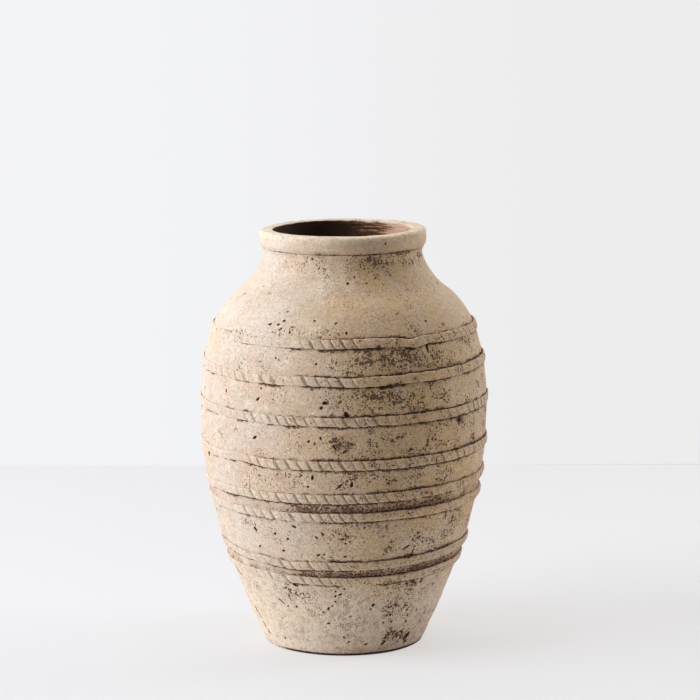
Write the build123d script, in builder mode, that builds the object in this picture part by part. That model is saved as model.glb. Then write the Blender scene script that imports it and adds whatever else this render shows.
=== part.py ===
"""A hand-built pithos: a storage jar raised in courses on a clay slab.

Each course stands on the bevelled edge of the one below it. A neck ring and a thick
lip ring close the mouth, and rope bands are pressed on outside, most of them over a join.
Millimetres, +Z up, with the origin at the middle of the foot.
"""

import os
from collections import namedtuple

from build123d import *

# Whole jar
pot_height = 421.8
foot_radius = 78.0
girth_radius = 144.2
girth_height = 240.0
foot_flare_angle = 27.0

# Wall, floor and joins
wall_thickness = 9.2
floor_thickness = 12.0
foot_edge_radius = 2.5
join_rise = 3.0

# Neck and lip
neck_radius = 79.0
neck_height = 21.6
lip_height = 18.2
lip_radius = 84.2
lip_underside_height = 7.0
lip_underside_radius = 5.0
lip_outer_radius = 5.5
mouth_edge_radius = 4.0

# Rope bands: a round coil pressed flat on the wall, notched with a slanted tool
rope_width = 9.4
rope_relief = 3.0
notch_width = 3.2
notch_depth_share = 0.55
notch_lean_angle = 28.0

# Outside of the wall from foot to girth: share of the height, share of the widening
belly_shares = (
    (0.100, 0.181),
    (0.250, 0.405),
    (0.417, 0.636),
    (0.592, 0.810),
    (0.779, 0.938),
)

# Outside of the wall from girth to lip: share of the height, share of the widening
shoulder_shares = (
    (0.159, 0.989),
    (0.305, 0.948),
    (0.434, 0.868),
    (0.580, 0.722),
    (0.678, 0.541),
    (0.757, 0.351),
    (0.830, 0.164),
    (0.891, 0.050),
    (0.952, 0.004),
)

# Rope bands from the foot up: height as a share of the jar's, relief as a share of
# rope_relief, number of notches, and the course that starts under it at a join
Rope = namedtuple("Rope", "name height_share relief_share notches course")
rope_shares = (
    Rope("rope_band_1", 0.202, 0.97, 78, "lower_belly_course"),
    Rope("rope_band_2", 0.243, 1.00, 79, None),
    Rope("rope_band_3", 0.365, 1.03, 80, "middle_belly_course"),
    Rope("rope_band_4", 0.410, 0.97, 90, None),
    Rope("rope_band_5", 0.490, 0.80, 84, "upper_belly_course"),
    Rope("rope_band_6", 0.593, 0.63, 89, "lower_shoulder_course"),
    Rope("rope_band_7", 0.686, 0.87, 77, "middle_shoulder_course"),
    Rope("rope_band_8", 0.766, 1.00, 80, "upper_shoulder_course"),
)

lip_base = pot_height - lip_height
neck_base = lip_base - neck_height
mouth_radius = neck_radius - wall_thickness
inner_station_count = 28
share_tolerance = 1e-9


def outside_stations():
    """Return the points that the outside of the wall runs through, foot to lip."""
    stations = [(foot_radius, 0)]
    widening = girth_radius - foot_radius
    for height_share, widening_share in belly_shares:
        stations.append((foot_radius + widening_share * widening, height_share * girth_height))
    stations.append((girth_radius, girth_height))
    widening = girth_radius - neck_radius
    rise = lip_base - girth_height
    for height_share, widening_share in shoulder_shares:
        radius = neck_radius + widening_share * widening
        stations.append((radius, girth_height + height_share * rise))
    stations.append((neck_radius, lip_base))
    return stations


def share_at_height(edge, height):
    """Return how far along a rising edge a height lies, from 0 to 1."""
    low, high = 0.0, 1.0
    while high - low > share_tolerance:
        middle = (low + high) / 2
        if (edge @ middle).Y < height:
            low = middle
        else:
            high = middle
    return (low + high) / 2


def inside_stations(outside, floor_share):
    """Return points one wall thickness inside the outer line, above the floor."""
    stations = []
    for step in range(inner_station_count):
        share = floor_share + (1 - floor_share) * step / inner_station_count
        point = outside @ share + (outside % share).rotate(Axis.Z, 90) * wall_thickness
        if point.Y > floor_thickness:
            stations.append(point)
    return stations


def finish(builder, name):
    """Label a finished piece and write it to its own file."""
    builder.part.label = name
    export_step(builder.part, f"parts/{name}.step")


# Half profiles, drawn with X as the radius and Y as the height
with BuildLine() as outside_line:
    foot_flare = Vector(0, 1).rotate(Axis.Z, -foot_flare_angle)
    Spline(outside_stations(), tangents=[foot_flare, (0, 1)])
outside = outside_line.edge()
floor_share = share_at_height(outside, floor_thickness)

with BuildLine() as inside_line:
    stations = inside_stations(outside, floor_share)
    slope = (stations[1] - stations[0]).normalized()
    floor_corner = stations[0] - slope * ((stations[0].Y - floor_thickness) / slope.Y)
    Spline([floor_corner, *stations, (mouth_radius, lip_base)], tangents=[slope, (0, 1)])
inside = inside_line.edge()

# Everything within the outer line, which the rope bands bed against
with BuildSketch() as jar_outline:
    with BuildLine():
        add(outside)
        Polyline((neck_radius, lip_base), (0, lip_base), (0, 0), (foot_radius, 0))
    make_face()


def make_base_slab():
    """Make the flat slab that the jar stands on; the foot course stands on its edge."""
    with BuildPart() as base_slab:
        with BuildSketch(Plane.XZ):
            with BuildLine():
                add(outside.trim(0, floor_share))
                Polyline(outside @ floor_share, (0, floor_thickness), (0, 0), (foot_radius, 0))
            make_face()
        revolve(axis=Axis.Z)
        fillet(base_slab.faces().sort_by(Axis.Z)[0].edges(), foot_edge_radius)
    finish(base_slab, "base_slab")


def make_course(name, foot, foot_rise, head, head_rise):
    """Make one ring of wall between two joins, each bevelled to rise inwards."""
    outer_foot = share_at_height(outside, foot)
    outer_head = share_at_height(outside, head)
    inner_foot = share_at_height(inside, foot + foot_rise)
    inner_head = share_at_height(inside, head + head_rise)
    with BuildPart() as course:
        with BuildSketch(Plane.XZ):
            with BuildLine():
                add(outside.trim(outer_foot, outer_head))
                Line(outside @ outer_head, inside @ inner_head)
                add(inside.trim(inner_foot, inner_head))
                Line(inside @ inner_foot, outside @ outer_foot)
            make_face()
        revolve(axis=Axis.Z)
    finish(course, name)


def make_courses():
    """Make every ring of wall, from the slab up to the neck ring under the lip."""
    joins = [("foot_course", floor_thickness, 0)]
    for rope in rope_shares:
        if rope.course:
            joins.append((rope.course, rope.height_share * pot_height, join_rise))
    joins.append(("neck_ring", neck_base, -join_rise))
    joins.append((None, lip_base, 0))
    for (name, foot, foot_rise), (_, head, head_rise) in zip(joins, joins[1:]):
        make_course(name, foot, foot_rise, head, head_rise)


def make_lip_ring():
    """Make the thick lip, rounded outside and in, with a narrow flat land on top."""
    with BuildPart() as lip_ring:
        with BuildSketch(Plane.XZ) as section:
            with BuildLine():
                Polyline(
                    (mouth_radius, lip_base),
                    (neck_radius, lip_base),
                    (lip_radius, lip_base + lip_underside_height),
                    (lip_radius, pot_height),
                    (mouth_radius, pot_height),
                    close=True,
                )
            make_face()
            for corner, radius in (
                ((mouth_radius, pot_height), mouth_edge_radius),
                ((lip_radius, pot_height), lip_outer_radius),
                ((lip_radius, lip_base + lip_underside_height), lip_underside_radius),
            ):
                fillet(section.vertices().sort_by_distance(corner)[0], radius)
        revolve(axis=Axis.Z)
    finish(lip_ring, "lip_ring")


def make_rope_band(rope):
    """Make one rope band, bedded on the wall, with notches pressed right round it."""
    share = share_at_height(outside, rope.height_share * pot_height)
    seat = outside @ share
    outward = (outside % share).rotate(Axis.Z, -90)
    relief = rope_relief * rope.relief_share
    notch_depth = notch_depth_share * relief
    coil_radius = ((rope_width / 2) ** 2 + relief**2) / (2 * relief)
    coil_middle = seat + outward * (relief - coil_radius)
    crest = seat + outward * relief

    with BuildPart() as notch_cutter:
        with BuildSketch(Plane.XZ):
            Polygon(
                (-notch_width, notch_depth),
                (notch_width, notch_depth),
                (0, -notch_depth),
                align=None,
            )
        extrude(amount=rope_width, both=True)

    crest_plane = Plane((crest.X, 0, crest.Y), x_dir=(0, 1, 0), z_dir=(outward.X, 0, outward.Y))
    first_notch = crest_plane.location * Location((0, 0, 0), (0, 0, notch_lean_angle))
    with BuildPart() as rope_band:
        with BuildSketch(Plane.XZ):
            with Locations(coil_middle):
                Circle(coil_radius)
            add(jar_outline.sketch, mode=Mode.SUBTRACT)
        revolve(axis=Axis.Z)
        with Locations(*[turn * first_notch for turn in PolarLocations(0, rope.notches)]):
            add(notch_cutter.part, mode=Mode.SUBTRACT)
    finish(rope_band, rope.name)


os.makedirs("parts", exist_ok=True)
make_base_slab()
make_courses()
make_lip_ring()
for rope in rope_shares:
    make_rope_band(rope)
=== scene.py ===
"""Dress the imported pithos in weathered, hand-smoothed clay.

The outside, the lip and the inside are worked out as one skin of clay and then cut at
the joins, so every course keeps its own closed piece and no join shows a step. The rope
bands are coils of their own, pressed flat and notched with a slanted tool.
Sizes are millimetres until a mesh is made. Angles start at the front, -Y, and grow to
the right of the photograph.
"""

import logging
import math
from dataclasses import dataclass, field
from enum import Enum
from functools import cached_property
from typing import Any, Callable, Sequence

import bpy
import numpy as np
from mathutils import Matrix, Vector


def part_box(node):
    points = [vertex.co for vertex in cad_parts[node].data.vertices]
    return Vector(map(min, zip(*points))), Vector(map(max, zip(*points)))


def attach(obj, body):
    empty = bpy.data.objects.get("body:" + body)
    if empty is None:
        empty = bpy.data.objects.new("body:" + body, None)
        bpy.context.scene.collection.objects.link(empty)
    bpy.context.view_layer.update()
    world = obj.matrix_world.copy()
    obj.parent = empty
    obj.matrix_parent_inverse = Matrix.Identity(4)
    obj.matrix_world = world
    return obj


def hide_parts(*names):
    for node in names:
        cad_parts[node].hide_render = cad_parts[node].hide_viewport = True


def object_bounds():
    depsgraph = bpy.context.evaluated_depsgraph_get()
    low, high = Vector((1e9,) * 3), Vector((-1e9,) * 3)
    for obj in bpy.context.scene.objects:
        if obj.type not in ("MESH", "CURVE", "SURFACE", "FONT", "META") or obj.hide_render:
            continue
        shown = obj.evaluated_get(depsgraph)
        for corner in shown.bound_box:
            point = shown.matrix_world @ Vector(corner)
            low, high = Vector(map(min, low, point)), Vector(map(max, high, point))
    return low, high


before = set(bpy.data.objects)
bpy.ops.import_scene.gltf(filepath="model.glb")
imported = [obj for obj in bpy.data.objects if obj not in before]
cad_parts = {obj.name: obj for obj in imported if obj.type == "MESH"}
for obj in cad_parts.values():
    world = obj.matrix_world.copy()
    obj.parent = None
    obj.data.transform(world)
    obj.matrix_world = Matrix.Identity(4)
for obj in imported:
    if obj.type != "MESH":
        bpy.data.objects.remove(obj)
cad_low, cad_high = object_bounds()

MM = 0.001
SEED = 431
BOX_GAP = 0.06
UNWRAP_EDGE = 0.004
REACH = cad_high.x / MM - BOX_GAP

log = logging.getLogger("pithos")

Keys = tuple[tuple[float, float], ...]
Span = tuple[float, float]
Colour = tuple[float, float, float]

LAYERS: dict[str, tuple[float, float | tuple[float, float, float]]] = {
    "wide_swell": (0.0, 70.0),
    "near_swell": (500.0, 26.0),
    "grain": (0.0, 3.3),
    "fine_grain": (40.0, 1.9),
    "streaks": (300.0, (90.0, 90.0, 7.0)),
    "wear": (700.0, 24.0),
    "patches": (900.0, 55.0),
    "coil_lumps": (1100.0, 11.0),
    "hidden_specks": (1300.0, 42.0),
    "nicks": (1500.0, 3.1),
    "wander": (1700.0, 8.0),
    "upper_edge": (1900.0, 13.0),
    "upper_nicks": (1900.0, 4.6),
    "lower_edge": (2300.0, 13.0),
    "lower_nicks": (2300.0, 4.6),
    "breaks": (2700.0, 13.0),
    "pit_rims": (3100.0, 1.9),
    "coil_wear": (4100.0, 7.0),
    "lining": (4700.0, (9.0, 9.0, 2.0)),
    "collar": (5300.0, 5.0),
}


def smooth(values: np.ndarray, low: float, high: float) -> np.ndarray:
    """Rise smoothly from 0 at low to 1 at high."""
    share = np.clip((values - low) / (high - low), 0.0, 1.0)
    return share * share * (3.0 - 2.0 * share)


def hump(values: np.ndarray, middle: float, width: float) -> np.ndarray:
    """Stand at 1 in the middle and fall away softly to both sides."""
    return np.exp(-(((values - middle) / width) ** 2))


def along(values: np.ndarray, keys: Keys) -> np.ndarray:
    """Read shares given at some heights, or at some columns of the photograph."""
    return np.interp(values, *zip(*keys))


def around(angles: np.ndarray, keys: Keys) -> np.ndarray:
    """Read shares given at some angles, in degrees, all the way round the jar."""
    return np.interp(np.degrees(angles), *zip(*keys), period=360.0)


def apart(angles: np.ndarray, place: float) -> np.ndarray:
    """Find how far some angles lie from one of them, the short way round."""
    return (angles - place + math.pi) % (2.0 * math.pi) - math.pi


def ring(radii: np.ndarray, angles: np.ndarray, heights: np.ndarray) -> np.ndarray:
    """Set points round the jar's axis."""
    spots = (radii * np.sin(angles), -radii * np.cos(angles), heights)
    return np.stack(np.broadcast_arrays(*spots), axis=-1)


def set_in_scene(name: str, data: Any) -> bpy.types.Object:
    """Make an object of a mesh, a lamp or a camera, and link it to the scene."""
    thing = bpy.data.objects.new(name, data)
    bpy.context.scene.collection.objects.link(thing)
    return thing


class ClayNoise:
    """Smooth seeded lumps in space, the same at a point whichever piece asks."""

    CELLS = 256
    SHIFT = 97.3
    GAIN = 1.5

    def __init__(self, seed: int) -> None:
        """Shuffle the cells and give each a slope of its own."""
        shuffle = np.random.default_rng(seed)
        self.order = shuffle.permutation(self.CELLS)
        slopes = shuffle.normal(size=(self.CELLS, 3))
        self.slopes = slopes / np.linalg.norm(slopes, axis=1, keepdims=True)

    def at(self, points: np.ndarray, size: float | Sequence[float]) -> np.ndarray:
        """Read the noise at some points.

        Args:
            points: Places in millimetres, three numbers along the last axis.
            size: Size of a lump, the same every way or one for each axis.

        Returns:
            Values from about -1 to 1.
        """
        cells = points / np.asarray(size, dtype=float) + self.SHIFT
        corner = np.floor(cells).astype(np.int64)
        part = cells - corner
        ease = part**3 * (part * (part * 6.0 - 15.0) + 10.0)
        shares = np.stack((1.0 - ease, ease))
        total = np.zeros(points.shape[:-1])
        mask = self.CELLS - 1
        for x in (0, 1):
            along_x = self.order[(corner[..., 0] + x) & mask]
            for y in (0, 1):
                along_y = self.order[(along_x + corner[..., 1] + y) & mask]
                share = shares[x, ..., 0] * shares[y, ..., 1]
                for z in (0, 1):
                    slope = self.slopes[self.order[(along_y + corner[..., 2] + z) & mask]]
                    lean = sum(slope[..., i] * (part[..., i] - n) for i, n in enumerate((x, y, z)))
                    total += share * shares[z, ..., 2] * lean
        return total * self.GAIN

    def layer(self, name: str, points: np.ndarray) -> np.ndarray:
        """Read a named layer, which has its own shift in space and size of lumps."""
        shift, size = LAYERS[name]
        return self.at(points + shift, size)


@dataclass(frozen=True)
class WallLine:
    """The outside of the wall, by the same stations as the source."""

    foot_radius: float = 78.0
    girth_radius: float = 144.2
    girth_height: float = 240.0
    neck_radius: float = 79.0
    lip_base: float = 403.6
    wall: float = 9.2
    foot_flare: float = 27.0
    belly: Keys = (
        (0.0, 0.0), (0.100, 0.181), (0.250, 0.405), (0.417, 0.636), (0.592, 0.810),
        (0.779, 0.938), (1.0, 1.0),
    )
    shoulder: Keys = (
        (0.159, 0.989), (0.305, 0.948), (0.434, 0.868), (0.580, 0.722), (0.678, 0.541),
        (0.757, 0.351), (0.830, 0.164), (0.891, 0.050), (0.952, 0.004), (1.0, 0.0),
    )

    @cached_property
    def stations(self) -> tuple[np.ndarray, np.ndarray]:
        """Heights and radii that the wall runs through, foot to lip."""
        places = []
        for keys, low, high, narrow in (
            (self.belly, 0.0, self.girth_height, self.foot_radius),
            (self.shoulder, self.girth_height, self.lip_base, self.neck_radius),
        ):
            swell = self.girth_radius - narrow
            places += [(low + rise * (high - low), narrow + wide * swell) for rise, wide in keys]
        return tuple(np.array(places).T)

    @cached_property
    def slopes(self) -> np.ndarray:
        """How fast the radius grows with height at each station, on one smooth curve."""
        heights, radii = self.stations
        steps = np.diff(heights)
        rises = np.diff(radii) / steps
        system = np.eye(len(heights))
        wanted = np.zeros(len(heights))
        wanted[0] = math.tan(math.radians(self.foot_flare))
        for row in range(1, len(heights) - 1):
            before, after = steps[row - 1], steps[row]
            system[row, row - 1 : row + 2] = after, 2.0 * (before + after), before
            wanted[row] = 3.0 * (after * rises[row - 1] + before * rises[row])
        return np.linalg.solve(system, wanted)

    def read(self, height: np.ndarray) -> tuple[np.ndarray, np.ndarray]:
        """Find the radius at some heights, and how fast it grows with height."""
        heights, radii = self.stations
        level = np.clip(height, heights[0], heights[-1])
        span = np.clip(np.searchsorted(heights, level) - 1, 0, len(heights) - 2)
        step = heights[span + 1] - heights[span]
        share = (level - heights[span]) / step
        low, high = radii[span], radii[span + 1]
        out, into = self.slopes[span] * step, self.slopes[span + 1] * step
        bend = 2.0 * low - 2.0 * high + out + into
        lean = 3.0 * (high - low) - 2.0 * out - into
        radius = low + share * (out + share * (lean + share * bend))
        return radius, (out + share * (2.0 * lean + 3.0 * share * bend)) / step

    def radius(self, height: np.ndarray) -> np.ndarray:
        """Radius of the outside at some heights."""
        return self.read(height)[0]

    @cached_property
    def inner(self) -> tuple[np.ndarray, np.ndarray]:
        """Heights and radii of the inside, one wall thickness in from the outside."""
        heights = np.linspace(0.0, self.lip_base, 900)
        radii, slopes = self.read(heights)
        length = np.hypot(1.0, slopes)
        return heights + self.wall * slopes / length, radii - self.wall / length

    def inner_radius(self, height: np.ndarray) -> np.ndarray:
        """Radius of the inside at some heights."""
        return np.interp(height, *self.inner)


@dataclass(frozen=True)
class Viewpoint:
    """The photograph's camera, and the way from its pixels to the wall."""

    distance: float = 2921.6
    height: float = 775.5
    pitch: float = math.radians(9.313)
    focal: float = 2933.7
    axis_column: float = 343.6
    middle: float = 350.0
    sensor: float = 36.0
    search: float = 190.0

    def column(self, points: np.ndarray) -> np.ndarray:
        """Column of the photograph at which some points show."""
        ahead = points[..., 1] + self.distance
        above = points[..., 2] - self.height
        depth = ahead * math.cos(self.pitch) - above * math.sin(self.pitch)
        return self.axis_column + self.focal * points[..., 0] / depth

    def on_wall(self, column: float, row: float, wall: WallLine) -> tuple[float, float]:
        """Find the angle and height of the place on the wall that a pixel shows."""
        across = (column - self.axis_column) / self.focal
        up = (self.middle - row) / self.focal
        depth = np.linspace(self.distance - self.search, self.distance + self.search, 1500)
        x = across * depth
        y = depth * (math.cos(self.pitch) + up * math.sin(self.pitch)) - self.distance
        z = depth * (up * math.cos(self.pitch) - math.sin(self.pitch)) + self.height
        gap = np.hypot(x, y) - wall.radius(z)
        found = np.argmax(gap < 0.0) if np.any(gap < 0.0) else np.argmin(gap)
        return math.atan2(x[found], -y[found]), float(z[found])

    def aim(self) -> None:
        """Set the scene's camera where the photograph's stood."""
        lens = bpy.data.cameras.new("photo_camera")
        lens.sensor_width = self.sensor
        lens.lens = self.focal * self.sensor / (2.0 * self.middle)
        lens.clip_start, lens.clip_end = 0.05, 50.0
        camera = set_in_scene("photo_camera", lens)
        side = (self.middle - self.axis_column) * self.distance / self.focal
        camera.location = Vector((side, -self.distance, self.height)) * MM
        camera.rotation_euler = (math.pi / 2.0 - self.pitch, 0.0, 0.0)
        bpy.context.scene.camera = camera


@dataclass(frozen=True)
class Rope:
    """One rope band: its line round the jar, its notches, and the dirt and painted shade along its
    edges.

    Keys named crisp, bold, over and under pair a column of the photograph with a share
    there; what the photograph doesn't show takes the back shares. A kink is an angle in
    degrees, a width and a rise.
    """

    name: str
    height: float
    front: float
    right: float
    relief: float
    notches: int
    crisp: Keys
    bold: Keys
    over: Keys
    under: Keys
    kinks: tuple[tuple[float, float, float], ...] = ()
    half_width: float = 4.7
    lean: float = math.tan(math.radians(28.0))
    bed: float = 1.6
    groove: float = 1.5
    wobble: float = 0.28
    back_crisp: float = 0.75
    back_bold: float = 0.92
    back_dirt_and_shade: float = 0.62

    def line(self, angles: np.ndarray) -> np.ndarray:
        """Height of the band's middle at some angles."""
        level = self.height + self.front * np.cos(angles) + self.right * np.sin(angles)
        for place, width, rise in self.kinks:
            level = level + rise * hump(np.degrees(apart(angles, math.radians(place))), 0.0, width)
        for turns in (11, 17, 29, 43):
            phase = turns * 1.7 + self.height
            level = level + self.wobble / turns**0.6 * np.sin(turns * angles + phase)
        return level


class Mark(Enum):
    """What a stain adds to the clay."""

    SPECKS = "speck"
    LIME = "lime_and_highlight"
    WASH = "wash"
    DIRT = "dirt_and_shade"


@dataclass(frozen=True)
class Pit:
    """A hole left by burnt-out chaff or a lost grit, by where the photograph shows it."""

    column: float
    row: float
    length: float
    width: float
    turn: float = 35.0
    depth: float = 1.5


@dataclass(frozen=True)
class Stain:
    """A soft patch on the outside, by where the photograph shows it."""

    column: float
    row: float
    width: float
    height: float
    strength: float


@dataclass(frozen=True)
class Placed:
    """A pit set on the wall: its angle, height and shape."""

    angle: float
    height: float
    length: float
    width: float
    turn: float
    depth: float


@dataclass
class ClaySkin:
    """The worked surface of the clay: how far it stands out, and what lies on it."""

    wall: WallLine
    view: Viewpoint
    swell_wide: float = 0.75
    swell_near: float = 0.32
    fullness: float = 0.95
    full_low: float = 40.0
    full_high: float = 225.0
    full_fade: float = 30.0
    root_height: float = 366.5
    root_reach: float = 10.5
    root_hollow: float = 2.3
    neck_height: float = 389.0
    neck_reach: float = 8.0
    neck_fullness: float = 0.75
    foot_fullness: float = 0.7
    foot_top: float = 64.0
    foot_fade: float = 25.0
    foot_shift: float = 0.3
    heel_fullness: float = 1.2
    heel_top: float = 20.0
    heel_low: float = 4.0
    ridge: float = 0.20
    grain: float = 0.17
    fine_grain: float = 0.11
    crevice: float = 0.6
    crevice_width: float = 1.0
    shade_lean: float = 0.25
    shade_reach: float = 2.2
    shade_most: float = 1.4
    spill: float = 3.8
    hollow: float = 0.5
    edge_wander: float = 0.14
    edge_nick: float = 0.08
    flare: float = 2.3
    flare_start: float = 397.5
    tilt: float = 0.9
    tilt_start: float = 399.0
    tilt_end: float = 420.0
    lean: float = -1.1
    lean_start: float = 372.0
    lean_end: float = 402.0
    view_edge: Span = (-0.12, 0.15)
    narrowest: float = 0.82
    patchiness: float = 0.28
    held: Span = (0.12, 0.80)
    spilt: Span = (0.35, 1.15)
    pair_edge: Span = (-0.6, 1.2)
    pair_overlap: float = 1.05
    pair_back: float = 0.6
    hidden_pits: int = 190
    hidden_arc: Span = (72.0, 288.0)
    hidden_rise: Span = (15.0, 375.0)
    pit_lengths: Span = (1.2, 3.4)
    pit_shapes: Span = (0.5, 0.9)
    pit_depths: Span = (0.7, 1.7)
    pit_bowl: Span = (0.3, 1.25)
    pit_dark: Span = (0.85, 1.4)
    pit_window: float = 1.6
    pit_growth: float = 1.15
    foot_shadow_height: float = 3.7
    noise: ClayNoise = field(default_factory=lambda: ClayNoise(SEED))

    def placed_pits(self) -> list[Placed]:
        """Set the photographed pits on the wall, and seeded ones where it doesn't reach."""
        found = []
        for pit in (Pit(*values) for values in PITS):
            place = self.view.on_wall(pit.column, pit.row, self.wall)
            found.append(Placed(*place, pit.length, pit.width, math.radians(pit.turn), pit.depth))
        draw = np.random.default_rng(SEED + 1)
        for _ in range(self.hidden_pits):
            angle = math.radians(draw.uniform(*self.hidden_arc))
            height = draw.uniform(*self.hidden_rise)
            length = draw.uniform(*self.pit_lengths)
            width = length * draw.uniform(*self.pit_shapes)
            turn, depth = draw.uniform(0.0, math.pi), draw.uniform(*self.pit_depths)
            found.append(Placed(angle, height, length, width, turn, depth))
        return found

    def stained(self, mark: Mark, angles: np.ndarray, heights: np.ndarray) -> np.ndarray:
        """Read how strongly the stains of one kind show.

        Args:
            mark: The kind of stain.
            angles: Angles in radians.
            heights: Heights in millimetres, of a shape that fits the angles'.

        Returns:
            The strength at each place, 0 where there is no stain.
        """
        shown = np.zeros(np.broadcast_shapes(angles.shape, heights.shape))
        for stain in (Stain(*values) for values in STAINS[mark]):
            angle, level = self.view.on_wall(stain.column, stain.row, self.wall)
            across = hump(apart(angles, angle) * self.wall.radius(level), 0.0, stain.width)
            up = hump(heights, level, stain.height)
            shown = np.maximum(shown, stain.strength * across * up)
        return shown

    def swell(self, points: np.ndarray) -> np.ndarray:
        """How far the hand-built wall swells or sinks, for the skin and the bands alike."""
        wide = self.noise.layer("wide_swell", points)
        near = self.noise.layer("near_swell", points)
        level = points[..., 2]
        full = smooth(level, self.full_low, self.full_low + self.full_fade)
        full = full * smooth(-level, -self.full_high, self.full_fade - self.full_high)
        root = self.root_hollow * hump(level, self.root_height, self.root_reach)
        neck = self.neck_fullness * hump(level, self.neck_height, self.neck_reach)
        heel = self.heel_fullness * smooth(-level, -self.heel_top, -self.heel_low)
        formed = self.fullness * full - root + neck + self.foot_fullness * self.footed(level) + heel
        return self.swell_wide * wide + self.swell_near * near + formed

    def footed(self, heights: np.ndarray) -> np.ndarray:
        """Share of the foot's own form at some heights."""
        return smooth(-heights, -self.foot_top, self.foot_fade - self.foot_top)

    def grained(self, points: np.ndarray, rough: np.ndarray | float = 0.5) -> np.ndarray:
        """Read the clay's grain, stronger where it is worn rough."""
        grain = self.grain * self.noise.layer("grain", points)
        grain = grain + self.fine_grain * self.noise.layer("fine_grain", points)
        return (0.5 + rough) * grain

    def tone(self, angles: np.ndarray, points: np.ndarray) -> np.ndarray:
        """Share of tan against cream clay."""
        turned = around(angles, TONE_KEYS) * along(points[..., 2], TONE_LEVELS)
        patches = self.patchiness * self.noise.layer("patches", points)
        return np.clip(turned + patches, 0.0, 1.0)

    def seen(self, rope: Rope, keys: Keys, back: float, angles: np.ndarray) -> np.ndarray:
        """Read a share by what the photograph shows of a band, and the back share behind.

        Args:
            rope: The band.
            keys: Pairs of a column and the share there.
            back: The share where the photograph doesn't reach.
            angles: Angles in radians.

        Returns:
            The share at each angle.
        """
        level = rope.line(angles)
        shown = along(self.view.column(ring(self.wall.radius(level), angles, level)), keys)
        facing = smooth(np.cos(angles), *self.view_edge)
        return shown * facing + back * (1.0 - facing)

    def edges(self, rope: Rope, angles: np.ndarray) -> tuple[np.ndarray, ...]:
        """Find a band's middle, and how far its upper and lower edge wander from it."""
        level = rope.line(angles)
        spots = ring(self.wall.radius(level), angles, level)
        bold = self.seen(rope, rope.bold, rope.back_bold, angles)
        half = rope.half_width * (self.narrowest + (1.0 - self.narrowest) * bold)
        found = [level]
        for edge in ("upper", "lower"):
            wander = self.edge_wander * self.noise.layer(f"{edge}_edge", spots)
            nick = self.edge_nick * self.noise.layer(f"{edge}_nicks", spots)
            found.append(half * (1.0 + wander + nick))
        return tuple(found)

    def near_ropes(self, angles: np.ndarray, base: np.ndarray) -> tuple[np.ndarray, ...]:
        """Work out the ragged crevices beside the bands, and the recess between close bands.

        Args:
            angles: Angles in radians, one for each column.
            base: The skin before it is worked.

        Returns:
            How deep the surface sinks, and the dirt with painted shade, wash and specks there, by
            row and column.
        """
        heights = base[:, :1, 2]
        sunk, dirt_and_shade, wash, speck = (np.zeros(base.shape[:2]) for _ in range(4))
        stretch = np.hypot(1.0, self.wall.read(heights)[1])
        layers = ("nicks", "wander", "breaks")
        nick, wander, breaks = (self.noise.layer(name, base) for name in layers)
        found = {}
        for rope in ROPES:
            level, upper, lower = self.edges(rope, angles)
            found[rope.name] = (rope, level, upper, lower)
            above = (heights - level[None]) * stretch
            # How far the band's painted shadow reaches down the wall below its lower edge, by the
            # wall's slope.
            lean = self.wall.read(rope.height)[1] + self.shade_lean
            shade = min(max(lean * self.shade_reach, 0.0), self.shade_most)
            sides = ((above, upper, rope.over, 0.0), (-above, lower, rope.under, shade))
            for side, half, keys, hidden in sides:
                strength = self.seen(rope, keys, rope.back_dirt_and_shade, angles)
                gap = side - half
                width = self.crevice_width * (1.0 + 1.1 * wander) * (0.85 + 0.50 * strength)
                # The dark crevice line is partly dirt and partly painted shade; below the lower
                # edge it is pushed down to paint the band's shadow on the wall.
                past = np.maximum(gap - hidden, 0.0) + np.minimum(gap, 0.0)
                line = np.exp(-(np.abs((past - 0.15 + 0.75 * nick) / width) ** 1.6))
                shape = np.where(side > 0.0, line, 0.0)
                broken = strength + 0.6 * breaks
                held = smooth(broken + 0.30 * nick, *self.held)
                dirt_and_shade = np.maximum(dirt_and_shade, shape * held)
                sunk = np.maximum(sunk, shape * self.crevice * (0.35 + 0.65 * held))
                near = hump(past, 0.0, self.spill) * (gap > -1.0)
                speck = np.maximum(speck, near * smooth(broken, *self.spilt))
        for over, under, keys in CLOSE_PAIRS:
            rope, level, upper, _ = found[under]
            top = found[over][1] - found[over][3] / self.pair_overlap
            bottom = level + upper / self.pair_overlap
            inside = smooth(heights - bottom, *self.pair_edge)
            inside = inside * smooth(top - heights, *self.pair_edge)
            strength = self.seen(rope, keys, self.pair_back, angles)
            rise = np.clip((heights - bottom) / np.maximum(top - bottom, 1.0), 0.0, 1.0)
            layer = strength * (1.5 - 1.9 * rise + 0.6 * rise**2) + 0.35 * breaks + 0.25 * wander
            wash = np.maximum(wash, inside * layer)
            speck = np.maximum(speck, inside * 0.8 * strength)
            sunk = np.maximum(sunk, inside * self.hollow)
        return sunk, dirt_and_shade, wash, speck


@dataclass
class Section:
    """The jar's half section: points from the foot up, over the lip and down inside.

    A row holds a radius and a height, 1 on the inside of the jar or 0 outside, and how
    much the clay's lumps and ridges show there.
    """

    rows: list[tuple[float, ...]] = field(default_factory=list)
    runs: dict[str, list[tuple[int, int]]] = field(default_factory=dict)

    def add(
        self, name: str, points: np.ndarray, inside: float, work: float = 1.0, follow: bool = False
    ) -> None:
        """Carry the section on by one stretch.

        Args:
            name: The piece that the stretch belongs to.
            points: Radius and height of each point, the first where the last one ended.
            inside: 1 on the inside of the jar, 0 outside.
            work: How much the clay's lumps and ridges show there.
            follow: Whether the stretch runs on in the same piece without a join.
        """
        start = max(len(self.rows) - 1, 0)
        self.rows += [(*point, inside, work) for point in points[1 if self.rows else 0 :]]
        if follow:
            start = self.runs[name].pop()[0]
        self.runs.setdefault(name, []).append((start, len(self.rows) - 1))


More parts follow.
